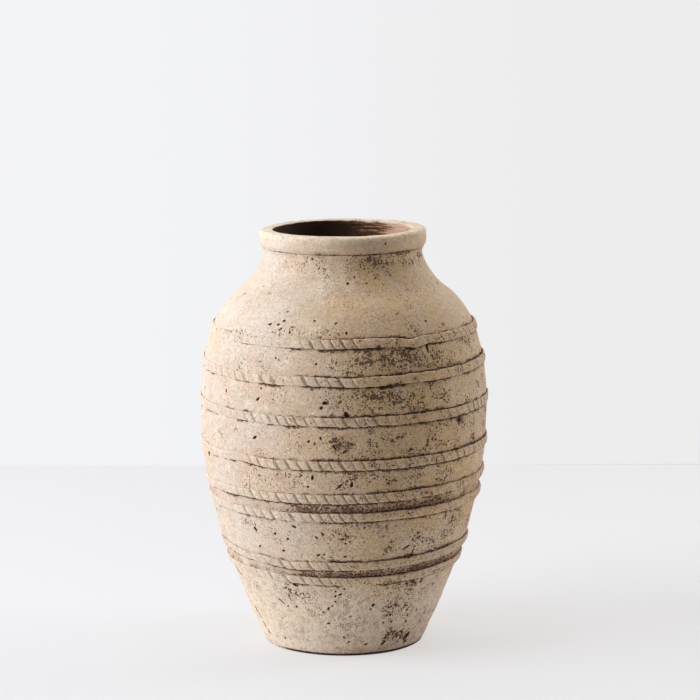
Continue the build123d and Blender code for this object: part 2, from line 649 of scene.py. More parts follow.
@dataclass(frozen=True)
class SectionPlan:
    """Where the pieces meet, and how closely the skin's rows lie."""

    wall: WallLine
    lip_radius: float = 83.8
    lip_start: float = 2.3
    lip_under_rise: float = 4.6
    lip_under_round: float = 5.0
    lip_outer_round: float = 3.6
    mouth_round: float = 1.7
    foot_round: float = 2.5
    join_rise: float = 3.0
    row_step: float = 0.72
    edge_step: float = 0.7
    mouth_step: float = 1.6
    inner_step: float = 5.0
    flat_step: float = 6.0
    centre_radius: float = 5.0
    mouth_view: float = 352.0
    top: float = cad_high.z / MM

    def spread(self, points: np.ndarray, step: float) -> np.ndarray:
        """Space points evenly along a line of radii and heights, by about a wanted step."""
        lengths = np.hypot(*np.diff(points, axis=0).T)
        passed = np.concatenate(([0.0], np.cumsum(lengths)))
        places = np.linspace(0.0, passed[-1], max(int(round(passed[-1] / step)), 1) + 1)
        return np.stack([np.interp(places, passed, points[:, axis]) for axis in (0, 1)], axis=1)

    def rounded(self, corners: Sequence[tuple[float, float, float]]) -> np.ndarray:
        """Draw a line through corners, each rounded by its own radius.

        Args:
            corners: Radius and height of each corner, and its rounding.

        Returns:
            Closely spaced points along the line.
        """
        line = [np.array(corners[0][:2])]
        for before, corner, after in zip(corners, corners[1:], corners[2:]):
            middle = np.array(corner[:2])
            back, on = np.array(before[:2]) - middle, np.array(after[:2]) - middle
            back, on = back / np.linalg.norm(back), on / np.linalg.norm(on)
            half = math.acos(float(np.clip(back @ on, -1.0, 1.0))) / 2.0
            reach = corner[2] / math.tan(half)
            hub = middle + (back + on) / np.linalg.norm(back + on) * corner[2] / math.sin(half)
            first, last = middle + back * reach - hub, middle + on * reach - hub
            sweep = math.pi - 2.0 * half
            for share in np.linspace(0.0, 1.0, 13):
                early, late = math.sin((1.0 - share) * sweep), math.sin(share * sweep)
                line.append(hub + (first * early + last * late) / math.sin(sweep))
        return np.array([*line, np.array(corners[-1][:2])])

    def side(self, radius: Callable, start: float, end: float, step: float) -> np.ndarray:
        """Space points along the outside or the inside, from one height to another."""
        heights = np.linspace(start, end, 400)
        return self.spread(np.stack((radius(heights), heights), axis=1), step)

    def draw(self) -> Section:
        """Draw the whole section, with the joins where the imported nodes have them."""
        wall, top, section = self.wall, self.top, Section()
        neck_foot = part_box(COURSES[-1])[1].z / MM
        levels = [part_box(name)[0].z / MM for name in COURSES] + [neck_foot]
        floor, base = levels[0], wall.lip_base
        mouth, flat = wall.neck_radius - wall.wall, wall.foot_radius - 2 * self.foot_round

        under = np.array(((self.centre_radius, 0.0), (flat, 0.0)))
        section.add("base_slab", self.spread(under, self.flat_step), 0.0, 0.0)
        heel = ((flat, 0.0, 0.0), (wall.foot_radius, 0.0, self.foot_round))
        heel = self.rounded((*heel, (wall.radius(floor), floor, 0.0)))
        section.add("base_slab", self.spread(heel, self.edge_step), 0.0, follow=True)
        for name, low, high in zip((*COURSES, "neck_ring"), levels, (*levels[1:], base)):
            section.add(name, self.side(wall.radius, low, high, self.row_step), 0.0)

        lip = self.rounded(
            (
                (wall.neck_radius, base, 0.0),
                (wall.neck_radius + self.lip_start, base, 0.0),
                (self.lip_radius, base + self.lip_under_rise, self.lip_under_round),
                (self.lip_radius, top, self.lip_outer_round),
                (mouth, top, self.mouth_round),
                (mouth, base, 0.0),
            )
        )
        lip = self.spread(lip, self.edge_step)
        turn = int(np.argmax(lip[:, 0] < mouth + self.mouth_round / 2.0))
        section.add("lip_ring", lip[: turn + 1], 0.0, 0.8)
        section.add("lip_ring", lip[turn:], 1.0, 0.8, follow=True)

        neck_end = neck_foot - self.join_rise
        inner = wall.inner_radius
        section.add("neck_ring", self.side(inner, base, neck_end, self.mouth_step), 1.0)
        ends = [floor, *(level + self.join_rise for level in levels[1:-1]), neck_end]
        for name, low, high in reversed(list(zip(COURSES, ends, ends[1:]))):
            split = min(max(self.mouth_view, low), high)
            if split < high:
                section.add(name, self.side(inner, high, split, self.mouth_step), 1.0)
            if split > low:
                deep = self.side(inner, split, low, self.inner_step)
                section.add(name, deep, 1.0, follow=split < high)
        ground = np.array(((section.rows[-1][0], floor), (self.centre_radius, floor)))
        section.add("base_slab", self.spread(ground, self.flat_step), 1.0, 0.3)
        return section


@dataclass
class ClayGrid:
    """A closed piece of clay: rows of points round the jar, and what its finish reads."""

    name: str
    points: np.ndarray
    normals: np.ndarray
    marks: dict[str, np.ndarray]
    joints: tuple[int, ...] = ()
    poles: tuple[float, float] | None = None
    lengths: int = 2

    def faces(self) -> tuple[np.ndarray, np.ndarray, np.ndarray]:
        """Join the rows into squares.

        Returns:
            The corners of each face, the row strip it lies in, and its column.
        """
        rows, columns = self.points.shape[:2]
        index = np.arange(rows * columns).reshape(rows, columns)
        upper = np.roll(index, -1, axis=0)
        if self.poles is not None:
            index, upper = index[:-1], upper[:-1]
        corners = (index, np.roll(index, -1, axis=1), np.roll(upper, -1, axis=1), upper)
        squares = np.stack(corners, axis=-1).reshape(-1, 4)
        strips = np.repeat(np.arange(index.shape[0]), columns)
        return squares, strips, np.tile(np.arange(columns), index.shape[0])

    def spans(self, column: np.ndarray) -> tuple[np.ndarray, np.ndarray, np.ndarray]:
        """Find the stacked length that a column lies in, and its left and right side there."""
        share = self.lengths / self.points.shape[1]
        place = column * self.lengths / self.points.shape[1]
        length = np.floor(place)
        return length, (place - length) / (1.0 + share), (place - length + share) / (1.0 + share)

    def unwrap(self, strips: np.ndarray, column: np.ndarray) -> np.ndarray:
        """Lay the squares out flat, in stacked lengths, with the seam at the back.

        Args:
            strips: The row strip of each square.
            column: The column of each square.

        Returns:
            Two numbers from 0 to 1 for each corner of each square.
        """
        line = np.concatenate((self.points[:, 0], self.points[:1, 0]))
        passed = np.concatenate(([0.0], np.cumsum(np.linalg.norm(np.diff(line, axis=0), axis=1))))
        total = passed[-1] if self.poles is None else passed[-2]
        up = np.clip(passed / total, 0.0, 1.0) * (1.0 - 2.0 * UNWRAP_EDGE) + UNWRAP_EDGE
        length, left, right = self.spans(column)
        low, high = (length + up[strips]) / self.lengths, (length + up[strips + 1]) / self.lengths
        return np.stack((left, low, right, low, right, high, left, high), axis=-1).reshape(-1, 2)

    def caps(self) -> tuple[np.ndarray, np.ndarray, np.ndarray]:
        """Close the first and last row to a middle point each.

        Returns:
            The two points, the corners of the triangles, and their flat layout.
        """
        rows, columns = self.points.shape[:2]
        first = np.arange(columns)
        last = first + (rows - 1) * columns
        low, high = (np.full(columns, rows * columns + count) for count in (0, 1))
        bottom = np.stack((low, np.roll(first, -1), first), axis=-1)
        top = np.stack((last, np.roll(last, -1), high), axis=-1)
        length, left, right = self.spans(first)
        middle = (left + right) / 2.0
        flat = np.zeros((2 * columns, 3, 2))
        flat[:columns, :, 0] = np.stack((middle, right, left), axis=-1)
        flat[columns:, :, 0] = np.stack((left, right, middle), axis=-1)
        flat[:columns, :, 1] = 0.0, UNWRAP_EDGE, UNWRAP_EDGE
        flat[columns:, :, 1] = 1.0 - UNWRAP_EDGE, 1.0 - UNWRAP_EDGE, 1.0
        flat[:, :, 1] = (flat[:, :, 1] + np.tile(length, 2)[:, None]) / self.lengths
        middles = np.array([(0.0, 0.0, pole) for pole in self.poles])
        return middles, np.concatenate((bottom, top)), flat.reshape(-1, 2)

    def corner_normals(self, squares: np.ndarray, strips: np.ndarray) -> np.ndarray:
        """Give each corner of the squares the skin's own direction, or its face's on a joint."""
        flat = self.normals.reshape(-1, 3)[squares]
        places = self.points.reshape(-1, 3)
        for joint in self.joints:
            corners = places[squares[strips == joint]]
            face = np.cross(corners[:, 2] - corners[:, 0], corners[:, 3] - corners[:, 1])
            face /= np.linalg.norm(face, axis=1, keepdims=True)
            flat[strips == joint] = face[:, None, :]
        return flat.reshape(-1, 3)

    def build(self, material: bpy.types.Material, node: str, slot: str) -> None:
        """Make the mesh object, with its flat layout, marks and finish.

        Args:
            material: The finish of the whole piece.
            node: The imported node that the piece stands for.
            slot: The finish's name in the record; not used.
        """
        squares, strips, column = self.faces()
        places = self.points.reshape(-1, 3)
        corners = squares.reshape(-1)
        starts = np.arange(len(squares)) * 4
        layout = self.unwrap(strips, column)
        normals = self.corner_normals(squares, strips)
        extra = 0
        if self.poles is not None:
            middles, triangles, flat = self.caps()
            extra = len(middles)
            starts = np.concatenate((starts, len(corners) + np.arange(len(triangles)) * 3))
            corners = np.concatenate((corners, triangles.reshape(-1)))
            layout = np.concatenate((layout, flat))
            upright = np.zeros((2, len(triangles) // 2 * 3, 3))
            upright[:, :, 2] = ((-1.0,), (1.0,))
            normals = np.concatenate((normals, upright.reshape(-1, 3)))
            places = np.concatenate((places, middles))

        mesh = bpy.data.meshes.new(self.name)
        mesh.vertices.add(len(places))
        mesh.vertices.foreach_set("co", (places * MM).astype(np.float32).reshape(-1))
        mesh.loops.add(len(corners))
        mesh.loops.foreach_set("vertex_index", corners.astype(np.int32))
        mesh.polygons.add(len(starts))
        mesh.polygons.foreach_set("loop_start", starts.astype(np.int32))
        mesh.update(calc_edges=True)
        layer = mesh.uv_layers.new(name="OFBake")
        layer.uv.foreach_set("vector", layout.astype(np.float32).reshape(-1))
        for mark, values in self.marks.items():
            spread = np.concatenate((values.reshape(-1), np.zeros(extra)))
            stored = mesh.attributes.new(mark, "FLOAT", "POINT")
            stored.data.foreach_set("value", spread.astype(np.float32))
        mesh.normals_split_custom_set(normals.astype(np.float32))
        mesh.materials.append(material)
        piece = set_in_scene(self.name, mesh)
        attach(piece, "root")
        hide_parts(node)
        log.info("%s: %d faces", piece.name, len(mesh.polygons))


def directions(points: np.ndarray, closed: bool) -> np.ndarray:
    """Work out which way a grid of points faces, its last row joined to the first or not."""
    across = np.roll(points, -1, axis=1) - np.roll(points, 1, axis=1)
    if closed:
        upward = np.roll(points, -1, axis=0) - np.roll(points, 1, axis=0)
    else:
        upward = np.gradient(points, axis=0)
    facing = np.cross(across, upward)
    return facing / np.linalg.norm(facing, axis=-1, keepdims=True)


@dataclass
class JarBody:
    """The slab, the courses, the neck and the lip, cut from one skin."""

    skin: ClaySkin
    plan: SectionPlan
    columns: int = 1440
    inner_ridge: float = 0.42
    wear: Span = (-0.25, 0.55)
    lined: Span = (0.2, 1.2)
    dip: float = 0.4
    collar_reach: float = 1.1
    hidden_specks: float = 0.6
    foot_rise: float = 1.2

    def work_skin(self) -> tuple[Section, np.ndarray, np.ndarray, dict[str, np.ndarray]]:
        """Shape the whole skin at once, so that its pieces meet without a step.

        Returns:
            The section, the points and directions of the skin, and its marks.
        """
        skin, noise = self.skin, self.skin.noise
        section = self.plan.draw()
        angles = -math.pi + 2.0 * math.pi * np.arange(self.columns) / self.columns
        radii, heights, inside, work = np.array(section.rows).T[..., None]
        run = np.gradient(np.hstack((radii, heights)), axis=0)
        run /= np.linalg.norm(run, axis=1, keepdims=True)
        base = ring(radii, angles, heights)

        out = skin.swell(base)
        ridge = skin.ridge + (self.inner_ridge - skin.ridge) * inside
        out += ridge * noise.layer("streaks", base)
        rough = smooth(noise.layer("wear", base), *self.wear)
        out += skin.grained(base, rough)

        outside = (inside < 0.5) & (heights < skin.wall.lip_base)
        near = [values * outside for values in skin.near_ropes(angles, base)]
        out -= near[0]
        marks = self.mark_skin(angles, base, inside, near[1:], rough)
        out -= self.sink_pits(angles, base, inside[:, 0] < 0.5, marks)
        out += skin.flare * smooth(heights, skin.flare_start, skin.wall.lip_base) * outside

        out *= work * np.where(inside > 0.5, 1.0, smooth(heights, 0.0, self.foot_rise))
        points = ring(radii + out * run[:, 1:], angles, heights - out * run[:, :1])
        rise = smooth(heights, skin.tilt_start, skin.tilt_end)
        wave = 0.20 * np.sin(2.0 * angles + 0.6) + 0.14 * np.sin(5.0 * angles + 2.1)
        points[..., 2] += rise * (skin.tilt * (np.sin(angles) - 1.0) + wave - self.dip)
        points[..., 0] += skin.lean * smooth(heights, skin.lean_start, skin.lean_end)
        points[..., 0] += skin.foot_shift * skin.footed(heights)
        points[..., 2] = np.clip(points[..., 2], 0.0, cad_high.z / MM - BOX_GAP)
        far = np.hypot(points[..., 0], points[..., 1])
        points[..., :2] *= np.minimum(1.0, REACH / np.maximum(far, 1.0))[..., None]
        return section, points, directions(points, closed=False), marks

    def mark_skin(
        self,
        angles: np.ndarray,
        base: np.ndarray,
        inside: np.ndarray,
        near: Sequence[np.ndarray],
        rough: np.ndarray,
    ) -> dict[str, np.ndarray]:
        """Work out what the finish reads: tone, dirt with painted shade, wash, lime with painted
        highlights, specks, and soot with painted shade.

        Args:
            angles: Angles in radians, one for each column.
            base: The skin before it is worked.
            inside: 1 for each row inside the jar.
            near: Dirt with painted shade, wash and specks beside and between the bands.
            rough: Where the surface is worn rough.

        Returns:
            One value for each point, by name.
        """
        noise = self.skin.noise
        heights = base[:, :1, 2]
        open_air = inside < 0.5
        dirt_and_shade, wash, spill = near
        tinged = around(angles, SPECK_KEYS) * along(heights, SPECK_LEVELS)
        ragged = 0.7 * noise.layer("lining", base)
        depth = (self.plan.top - heights) / around(angles, LINING_KEYS)
        marks = {
            "tone": self.skin.tone(angles[None, :], base),
            "dirt_and_shade": dirt_and_shade * along(heights, CREVICE_LEVELS),
            "wash": wash,
            "groove": np.zeros_like(dirt_and_shade),
            "lime_and_highlight": along(heights, PALE_KEYS) + np.zeros_like(dirt_and_shade),
            "speck": np.maximum(tinged * (0.55 + 0.5 * smooth(rough, 0.2, 1.0)), 1.05 * spill),
            # Inside darkening by angle: partly soot, partly painted shade where the window light
            # doesn't reach the inner wall.
            "soot_and_shade": around(angles, SOOT_AND_SHADE_KEYS) * inside,
            "inside": smooth(depth + ragged, *self.lined) * inside,
        }
        for mark in Mark:
            shown = self.skin.stained(mark, angles[None, :], heights) * open_air
            marks[mark.value] = np.maximum(marks[mark.value], shown)
        collar = hump(heights, self.skin.wall.lip_base, self.collar_reach)
        collar = collar * around(angles, COLLAR_KEYS)
        collar = collar * (0.75 + 0.9 * noise.layer("collar", base))
        # Painted contact shadow along the underside of the foot, by angle.
        under = smooth(-heights, -self.skin.foot_shadow_height, 0.3 - self.skin.foot_shadow_height)
        for shown in (collar, under * around(angles, FOOT_SHADOW_KEYS)):
            marks["dirt_and_shade"] = np.maximum(marks["dirt_and_shade"], shown * open_air)
        speckled = smooth(noise.layer("hidden_specks", base), 0.0, 0.5)
        speckled = speckled * around(angles, HIDDEN_KEYS)
        marks["speck"] = np.clip(marks["speck"] + self.hidden_specks * speckled, 0.0, 1.0)
        return marks

    def sink_pits(
        self,
        angles: np.ndarray,
        base: np.ndarray,
        outside: np.ndarray,
        marks: dict[str, np.ndarray],
    ) -> np.ndarray:
        """Sink the pits, and darken them in the marks.

        Args:
            angles: Angles in radians, one for each column.
            base: The skin before it is worked.
            outside: Whether each row is on the outside.
            marks: The marks to darken.

        Returns:
            How deep each point sinks.
        """
        growth = self.skin.pit_growth / 2.0
        heights = base[:, 0, 2]
        sunk = np.zeros(base.shape[:2])
        for pit in self.skin.placed_pits():
            radius, slope = self.skin.wall.read(pit.height)
            reach = self.skin.pit_window * pit.length
            rows = np.nonzero(outside & (np.abs(heights - pit.height) < reach))[0]
            away = apart(angles, pit.angle) * radius
            columns = np.nonzero(np.abs(away) < reach)[0]
            across = away[columns][None, :]
            up = ((heights[rows] - pit.height) * math.hypot(1.0, slope))[:, None]
            onward = across * math.cos(pit.turn) + up * math.sin(pit.turn)
            aside = up * math.cos(pit.turn) - across * math.sin(pit.turn)
            spread = np.hypot(onward / (growth * pit.length), aside / (growth * pit.width))
            window = np.ix_(rows, columns)
            spread *= 1.0 + 0.4 * self.skin.noise.layer("pit_rims", base[window])
            bowl = pit.depth * (1.0 - smooth(spread, *self.skin.pit_bowl))
            sunk[window] = np.maximum(sunk[window], bowl)
            dark = 1.0 - smooth(spread, *self.skin.pit_dark)
            marks["dirt_and_shade"][window] = np.maximum(marks["dirt_and_shade"][window], dark)
        return sunk

    def build(self, finishes: dict[str, bpy.types.Material]) -> None:
        """Cut the skin at the joins and build each piece, with the finish of its slot."""
        section, points, facing, marks = self.work_skin()
        for name, runs in section.runs.items():
            rows = np.concatenate([np.arange(start, end + 1) for start, end in runs])
            joints = [int(last) for last in np.cumsum([end - start + 1 for start, end in runs]) - 1]
            poles = None
            if name == "base_slab":
                joints, poles = joints[:-1], (0.0, float(points[rows[-1], 0, 2]))
            cut = {mark: values[rows] for mark, values in marks.items()}
            grid = ClayGrid(f"clay_{name}", points[rows], facing[rows], cut, tuple(joints), poles)
            slot = SLOTS.get(name, "wall_clay")
            grid.build(finishes[slot], name, slot)


@dataclass
class RopeBands:
    """The coils pressed on outside: flattened, wavering, and notched with a slanted tool."""

    skin: ClaySkin
    phases: tuple[float, ...] = (
        0.0, 0.035, 0.07, 0.11, 0.16, 0.24, 0.35, 0.47, 0.59, 0.70, 0.79, 0.86, 0.92, 0.965,
    )
    seen_turns: int = 15
    hidden_turns: int = 5
    shoulder_power: float = 0.8
    crest_power: float = 0.5
    spacing_spread: float = 0.11
    force_low: float = 0.8
    force_high: float = 1.12
    lump: float = 0.42
    fall: float = 0.8
    scallop: float = 0.75
    bend: float = 0.9
    rim_highlight: float = 0.95
    lump_highlight: float = 0.55
    groove_width: float = 0.07
    cut_end: float = 0.11
    cut_start: float = 0.80
    dirt_and_shade_edge: float = 0.91
    speck_share: float = 0.68
    stain_shares: Span = (0.7, 0.8)
    edge_wear_and_highlight: float = 0.6

    def turns(self) -> np.ndarray:
        """Angles round the coil's own section, from its lower edge over the crest and back."""
        quarter = math.pi / 2.0
        seen = np.linspace(-quarter, quarter, self.seen_turns)
        hidden = np.linspace(quarter, 3.0 * quarter, self.hidden_turns + 2)[1:-1]
        return np.concatenate((seen, hidden))

    def coil(self, rope: Rope, order: int) -> ClayGrid:
        """Shape one band.

        Args:
            rope: The band.
            order: Its place from the foot up, which seeds what is left to chance.

        Returns:
            The band as a closed grid.
        """
        skin, wall, noise = self.skin, self.skin.wall, self.skin.noise
        draw = np.random.default_rng(SEED + 10 + order)
        gaps = draw.uniform(1.0 - self.spacing_spread, 1.0 + self.spacing_spread, rope.notches)
        gaps *= 2.0 * math.pi / gaps.sum()
        starts = np.cumsum(gaps) - gaps[0] - math.pi
        phases = np.array(self.phases)
        angles = (starts[:, None] + phases[None, :] * gaps[:, None]).reshape(-1)
        phase = np.tile(phases, rope.notches)
        force = draw.uniform(self.force_low, self.force_high, rope.notches)
        force = np.repeat(force, len(phases))
        crisp = skin.seen(rope, rope.crisp, rope.back_crisp, angles) * force
        bold = skin.seen(rope, rope.bold, rope.back_bold, angles)
        over, under = (
            skin.seen(rope, keys, rope.back_dirt_and_shade, angles) for keys in (rope.over, rope.under)
        )

        cut = np.maximum(1.0 - phase / self.cut_end, smooth(phase, self.cut_start, 1.0))
        cut = np.clip(cut, 0.0, 1.0)
        crest = rope.relief * bold - crisp * (rope.groove * cut + self.fall * phase)
        level, upper, lower = skin.edges(rope, angles)
        upper, lower = upper - self.scallop * crisp * cut, lower - self.scallop * crisp * cut
        slope = wall.read(level)[1]
        length = np.hypot(1.0, slope)

        turn = self.turns()[:, None]
        side, rise = np.sin(turn), np.cos(turn)
        outward = rise > 1e-6
        across = np.where(side > 0.0, upper, lower) * np.sign(side)
        across = across * np.abs(side) ** self.shoulder_power
        crown = np.abs(rise) ** self.crest_power
        stand = np.where(outward, crest * crown, -rope.bed * crown)
        heights = level + across / length
        radii = wall.radius(heights)
        bent = self.bend * np.minimum(across / rope.half_width, 0.0) ** 2
        leant = angles - (rope.lean * across - bent) / radii
        base = ring(radii, leant, heights)

        worn = self.lump * noise.layer("coil_lumps", base) + skin.grained(base)
        stand = stand + skin.swell(base) + np.where(outward, worn * crown, 0.0)
        radii = np.minimum(radii + stand / length, REACH)
        heights = heights - stand * slope / length
        points = ring(radii, leant, heights)

        crisp = np.clip(crisp * 1.15, 0.0, 1.0)
        # Painted shade in the notch grooves.
        painted_groove_shade = hump(np.minimum(phase, 1.0 - phase), 0.0, self.groove_width) * crisp
        crowned = np.clip(rise, 0.0, 1.0) ** 0.5
        # Dark line along the band's own edges: partly dirt, partly painted crevice shade.
        dirt_and_shade = np.where(side > 0.0, over, under) * along(heights, CREVICE_LEVELS)
        dirt_and_shade = dirt_and_shade * smooth(np.abs(side), self.dirt_and_shade_edge, 1.0)
        # Painted highlight: a pale rim where each lump rises out of its groove towards the window,
        # and a paler lump behind it.
        rims = np.maximum(hump(phase, 0.13, 0.075) * self.rim_highlight, self.lump_highlight * smooth(phase, 0.05, 0.2))
        rims = rims * crisp * smooth(-phase, -0.9, -0.35)
        # Pale band edges: partly wear, partly a painted highlight along the upper edge.
        edges = hump(np.abs(side), 0.8, 0.15) * outward
        edges = edges * smooth(noise.layer("coil_wear", base), -0.4, 0.3)
        pale = np.maximum(rims * crowned, self.edge_wear_and_highlight * edges)
        specks, soil = (
            share * skin.stained(mark, leant, heights)
            for share, mark in zip(self.stain_shares, (Mark.SPECKS, Mark.DIRT))
        )
        none = np.zeros_like(stand)
        marks = {
            "tone": skin.tone(leant, base),
            "dirt_and_shade": np.maximum(dirt_and_shade, soil),
            "wash": none,
            "groove": painted_groove_shade * crowned,
            "lime_and_highlight": np.maximum(pale, along(heights, PALE_KEYS)),
            "speck": np.maximum(self.speck_share * around(leant, SPECK_KEYS), specks),
            "soot_and_shade": none,
            "inside": none,
        }
        facing = directions(points, closed=True)
        return ClayGrid(f"clay_{rope.name}", points, facing, marks, lengths=8)

    def build(self, finish: bpy.types.Material) -> None:
        """Build every band, from the foot up."""
        for order, rope in enumerate(ROPES):
            self.coil(rope, order).build(finish, rope.name, "rope_clay")


def operator(operation: str, swapped: bool = False) -> Callable[["Sock", Any], "Sock"]:
    """Make one of a socket's operators, with the socket last when it is swapped."""

    def apply(sock: "Sock", other: Any) -> "Sock":
        """Add the Math node."""
        return sock.maths(operation, *((other, sock) if swapped else (sock, other)))

    return apply


class Sock:
    """A node's socket that adds the Math nodes of an expression it stands in."""

    __add__, __radd__ = operator("ADD"), operator("ADD", True)
    __sub__, __rsub__ = operator("SUBTRACT"), operator("SUBTRACT", True)
    __mul__, __rmul__ = operator("MULTIPLY"), operator("MULTIPLY", True)
    __truediv__, __rtruediv__ = operator("DIVIDE"), operator("DIVIDE", True)
    over = operator("MAXIMUM")

    def __init__(self, bench: "Bench", socket: bpy.types.NodeSocket) -> None:
        """Keep the socket and the bench that it belongs to."""
        self.bench = bench
        self.socket = socket

    def maths(self, operation: str, *values: Any) -> "Sock":
        """Add one Math node."""
        inputs = dict(enumerate(values))
        return self.bench.node("ShaderNodeMath", inputs, {"operation": operation})

    def clamp(self) -> "Sock":
        """Hold between 0 and 1."""
        return self.bench.node("ShaderNodeClamp", {"Value": self})

    def ease(self, low: float, high: float) -> "Sock":
        """Rise smoothly from 0 at low to 1 at high."""
        settings = {"interpolation_type": "SMOOTHSTEP"}
        inputs = {"Value": self, "From Min": low, "From Max": high}
        return self.bench.node("ShaderNodeMapRange", inputs, settings)


class Bench:
    """The nodes of one material or world, added one at a time."""

    def __init__(self, name: str, store: str = "materials") -> None:
        """Start an empty material, or a world when the store is worlds."""
        self.owner = getattr(bpy.data, store).new(name)
        self.owner.use_nodes = True
        self.tree = self.owner.node_tree
        self.tree.nodes.clear()

    def node(
        self,
        kind: str,
        inputs: dict[int | str, Any] | None = None,
        settings: dict[str, Any] | None = None,
        output: int | str = 0,
    ) -> Sock | None:
        """Add any node.

        Args:
            kind: The node's type.
            inputs: Values or links for its sockets; a colour is taken as solid.
            settings: Its own settings, set before its sockets.
            output: The output that is wanted.

        Returns:
            That output, or nothing from a node that has none.
        """
        node = self.tree.nodes.new(kind)
        for name, value in (settings or {}).items():
            setattr(node, name, value)
        for name, value in (inputs or {}).items():
            socket = node.inputs[name]
            if isinstance(value, Sock):
                self.tree.links.new(value.socket, socket)
            else:
                socket.default_value = (*value, 1.0) if socket.type == "RGBA" else value
        return Sock(self, node.outputs[output]) if len(node.outputs) else None

    def mark(self, name: str) -> Sock:
        """Read one of the marks kept on the mesh."""
        return self.node("ShaderNodeAttribute", {}, {"attribute_name": name}, "Fac")

    def noise(self, place: Sock, size: float, detail: float = 2.0, rough: float = 0.55) -> Sock:
        """Add noise with lumps of a given size in millimetres."""
        inputs = {"Vector": place, "Scale": 1.0 / (size * MM), "Detail": detail, "Roughness": rough}
        return self.node("ShaderNodeTexNoise", inputs)

    def blend(self, share: Sock | float, first: Any, second: Any) -> Sock:
        """Blend two colours."""
        inputs = {0: share, 6: first, 7: second}
        return self.node("ShaderNodeMix", inputs, {"data_type": "RGBA"}, output=2)

    def vector(self, operation: str, place: Sock, name: int | str, value: Any) -> Sock:
        """Add one vector step, such as SCALE, ADD or MULTIPLY."""
        inputs = {0: place, name: value}
        return self.node("ShaderNodeVectorMath", inputs, {"operation": operation})

    def scale(self, colour: Sock, share: Sock) -> Sock:
        """Make a colour darker or lighter."""
        return self.vector("SCALE", colour, "Scale", share)

    def stretch(self, place: Sock, shares: Colour) -> Sock:
        """Squeeze or stretch a place along each axis."""
        return self.vector("MULTIPLY", place, 1, shares)

    def shake(self, place: Sock, size: float, far: float) -> Sock:
        """Shift a place about by up to some way, in millimetres."""
        inputs = {"Vector": place, "Scale": 1.0 / (size * MM), "Detail": 1.0}
        tint = self.node("ShaderNodeTexNoise", inputs, output="Color")
        return self.vector("ADD", place, 1, self.stretch(tint, (far * MM,) * 3))


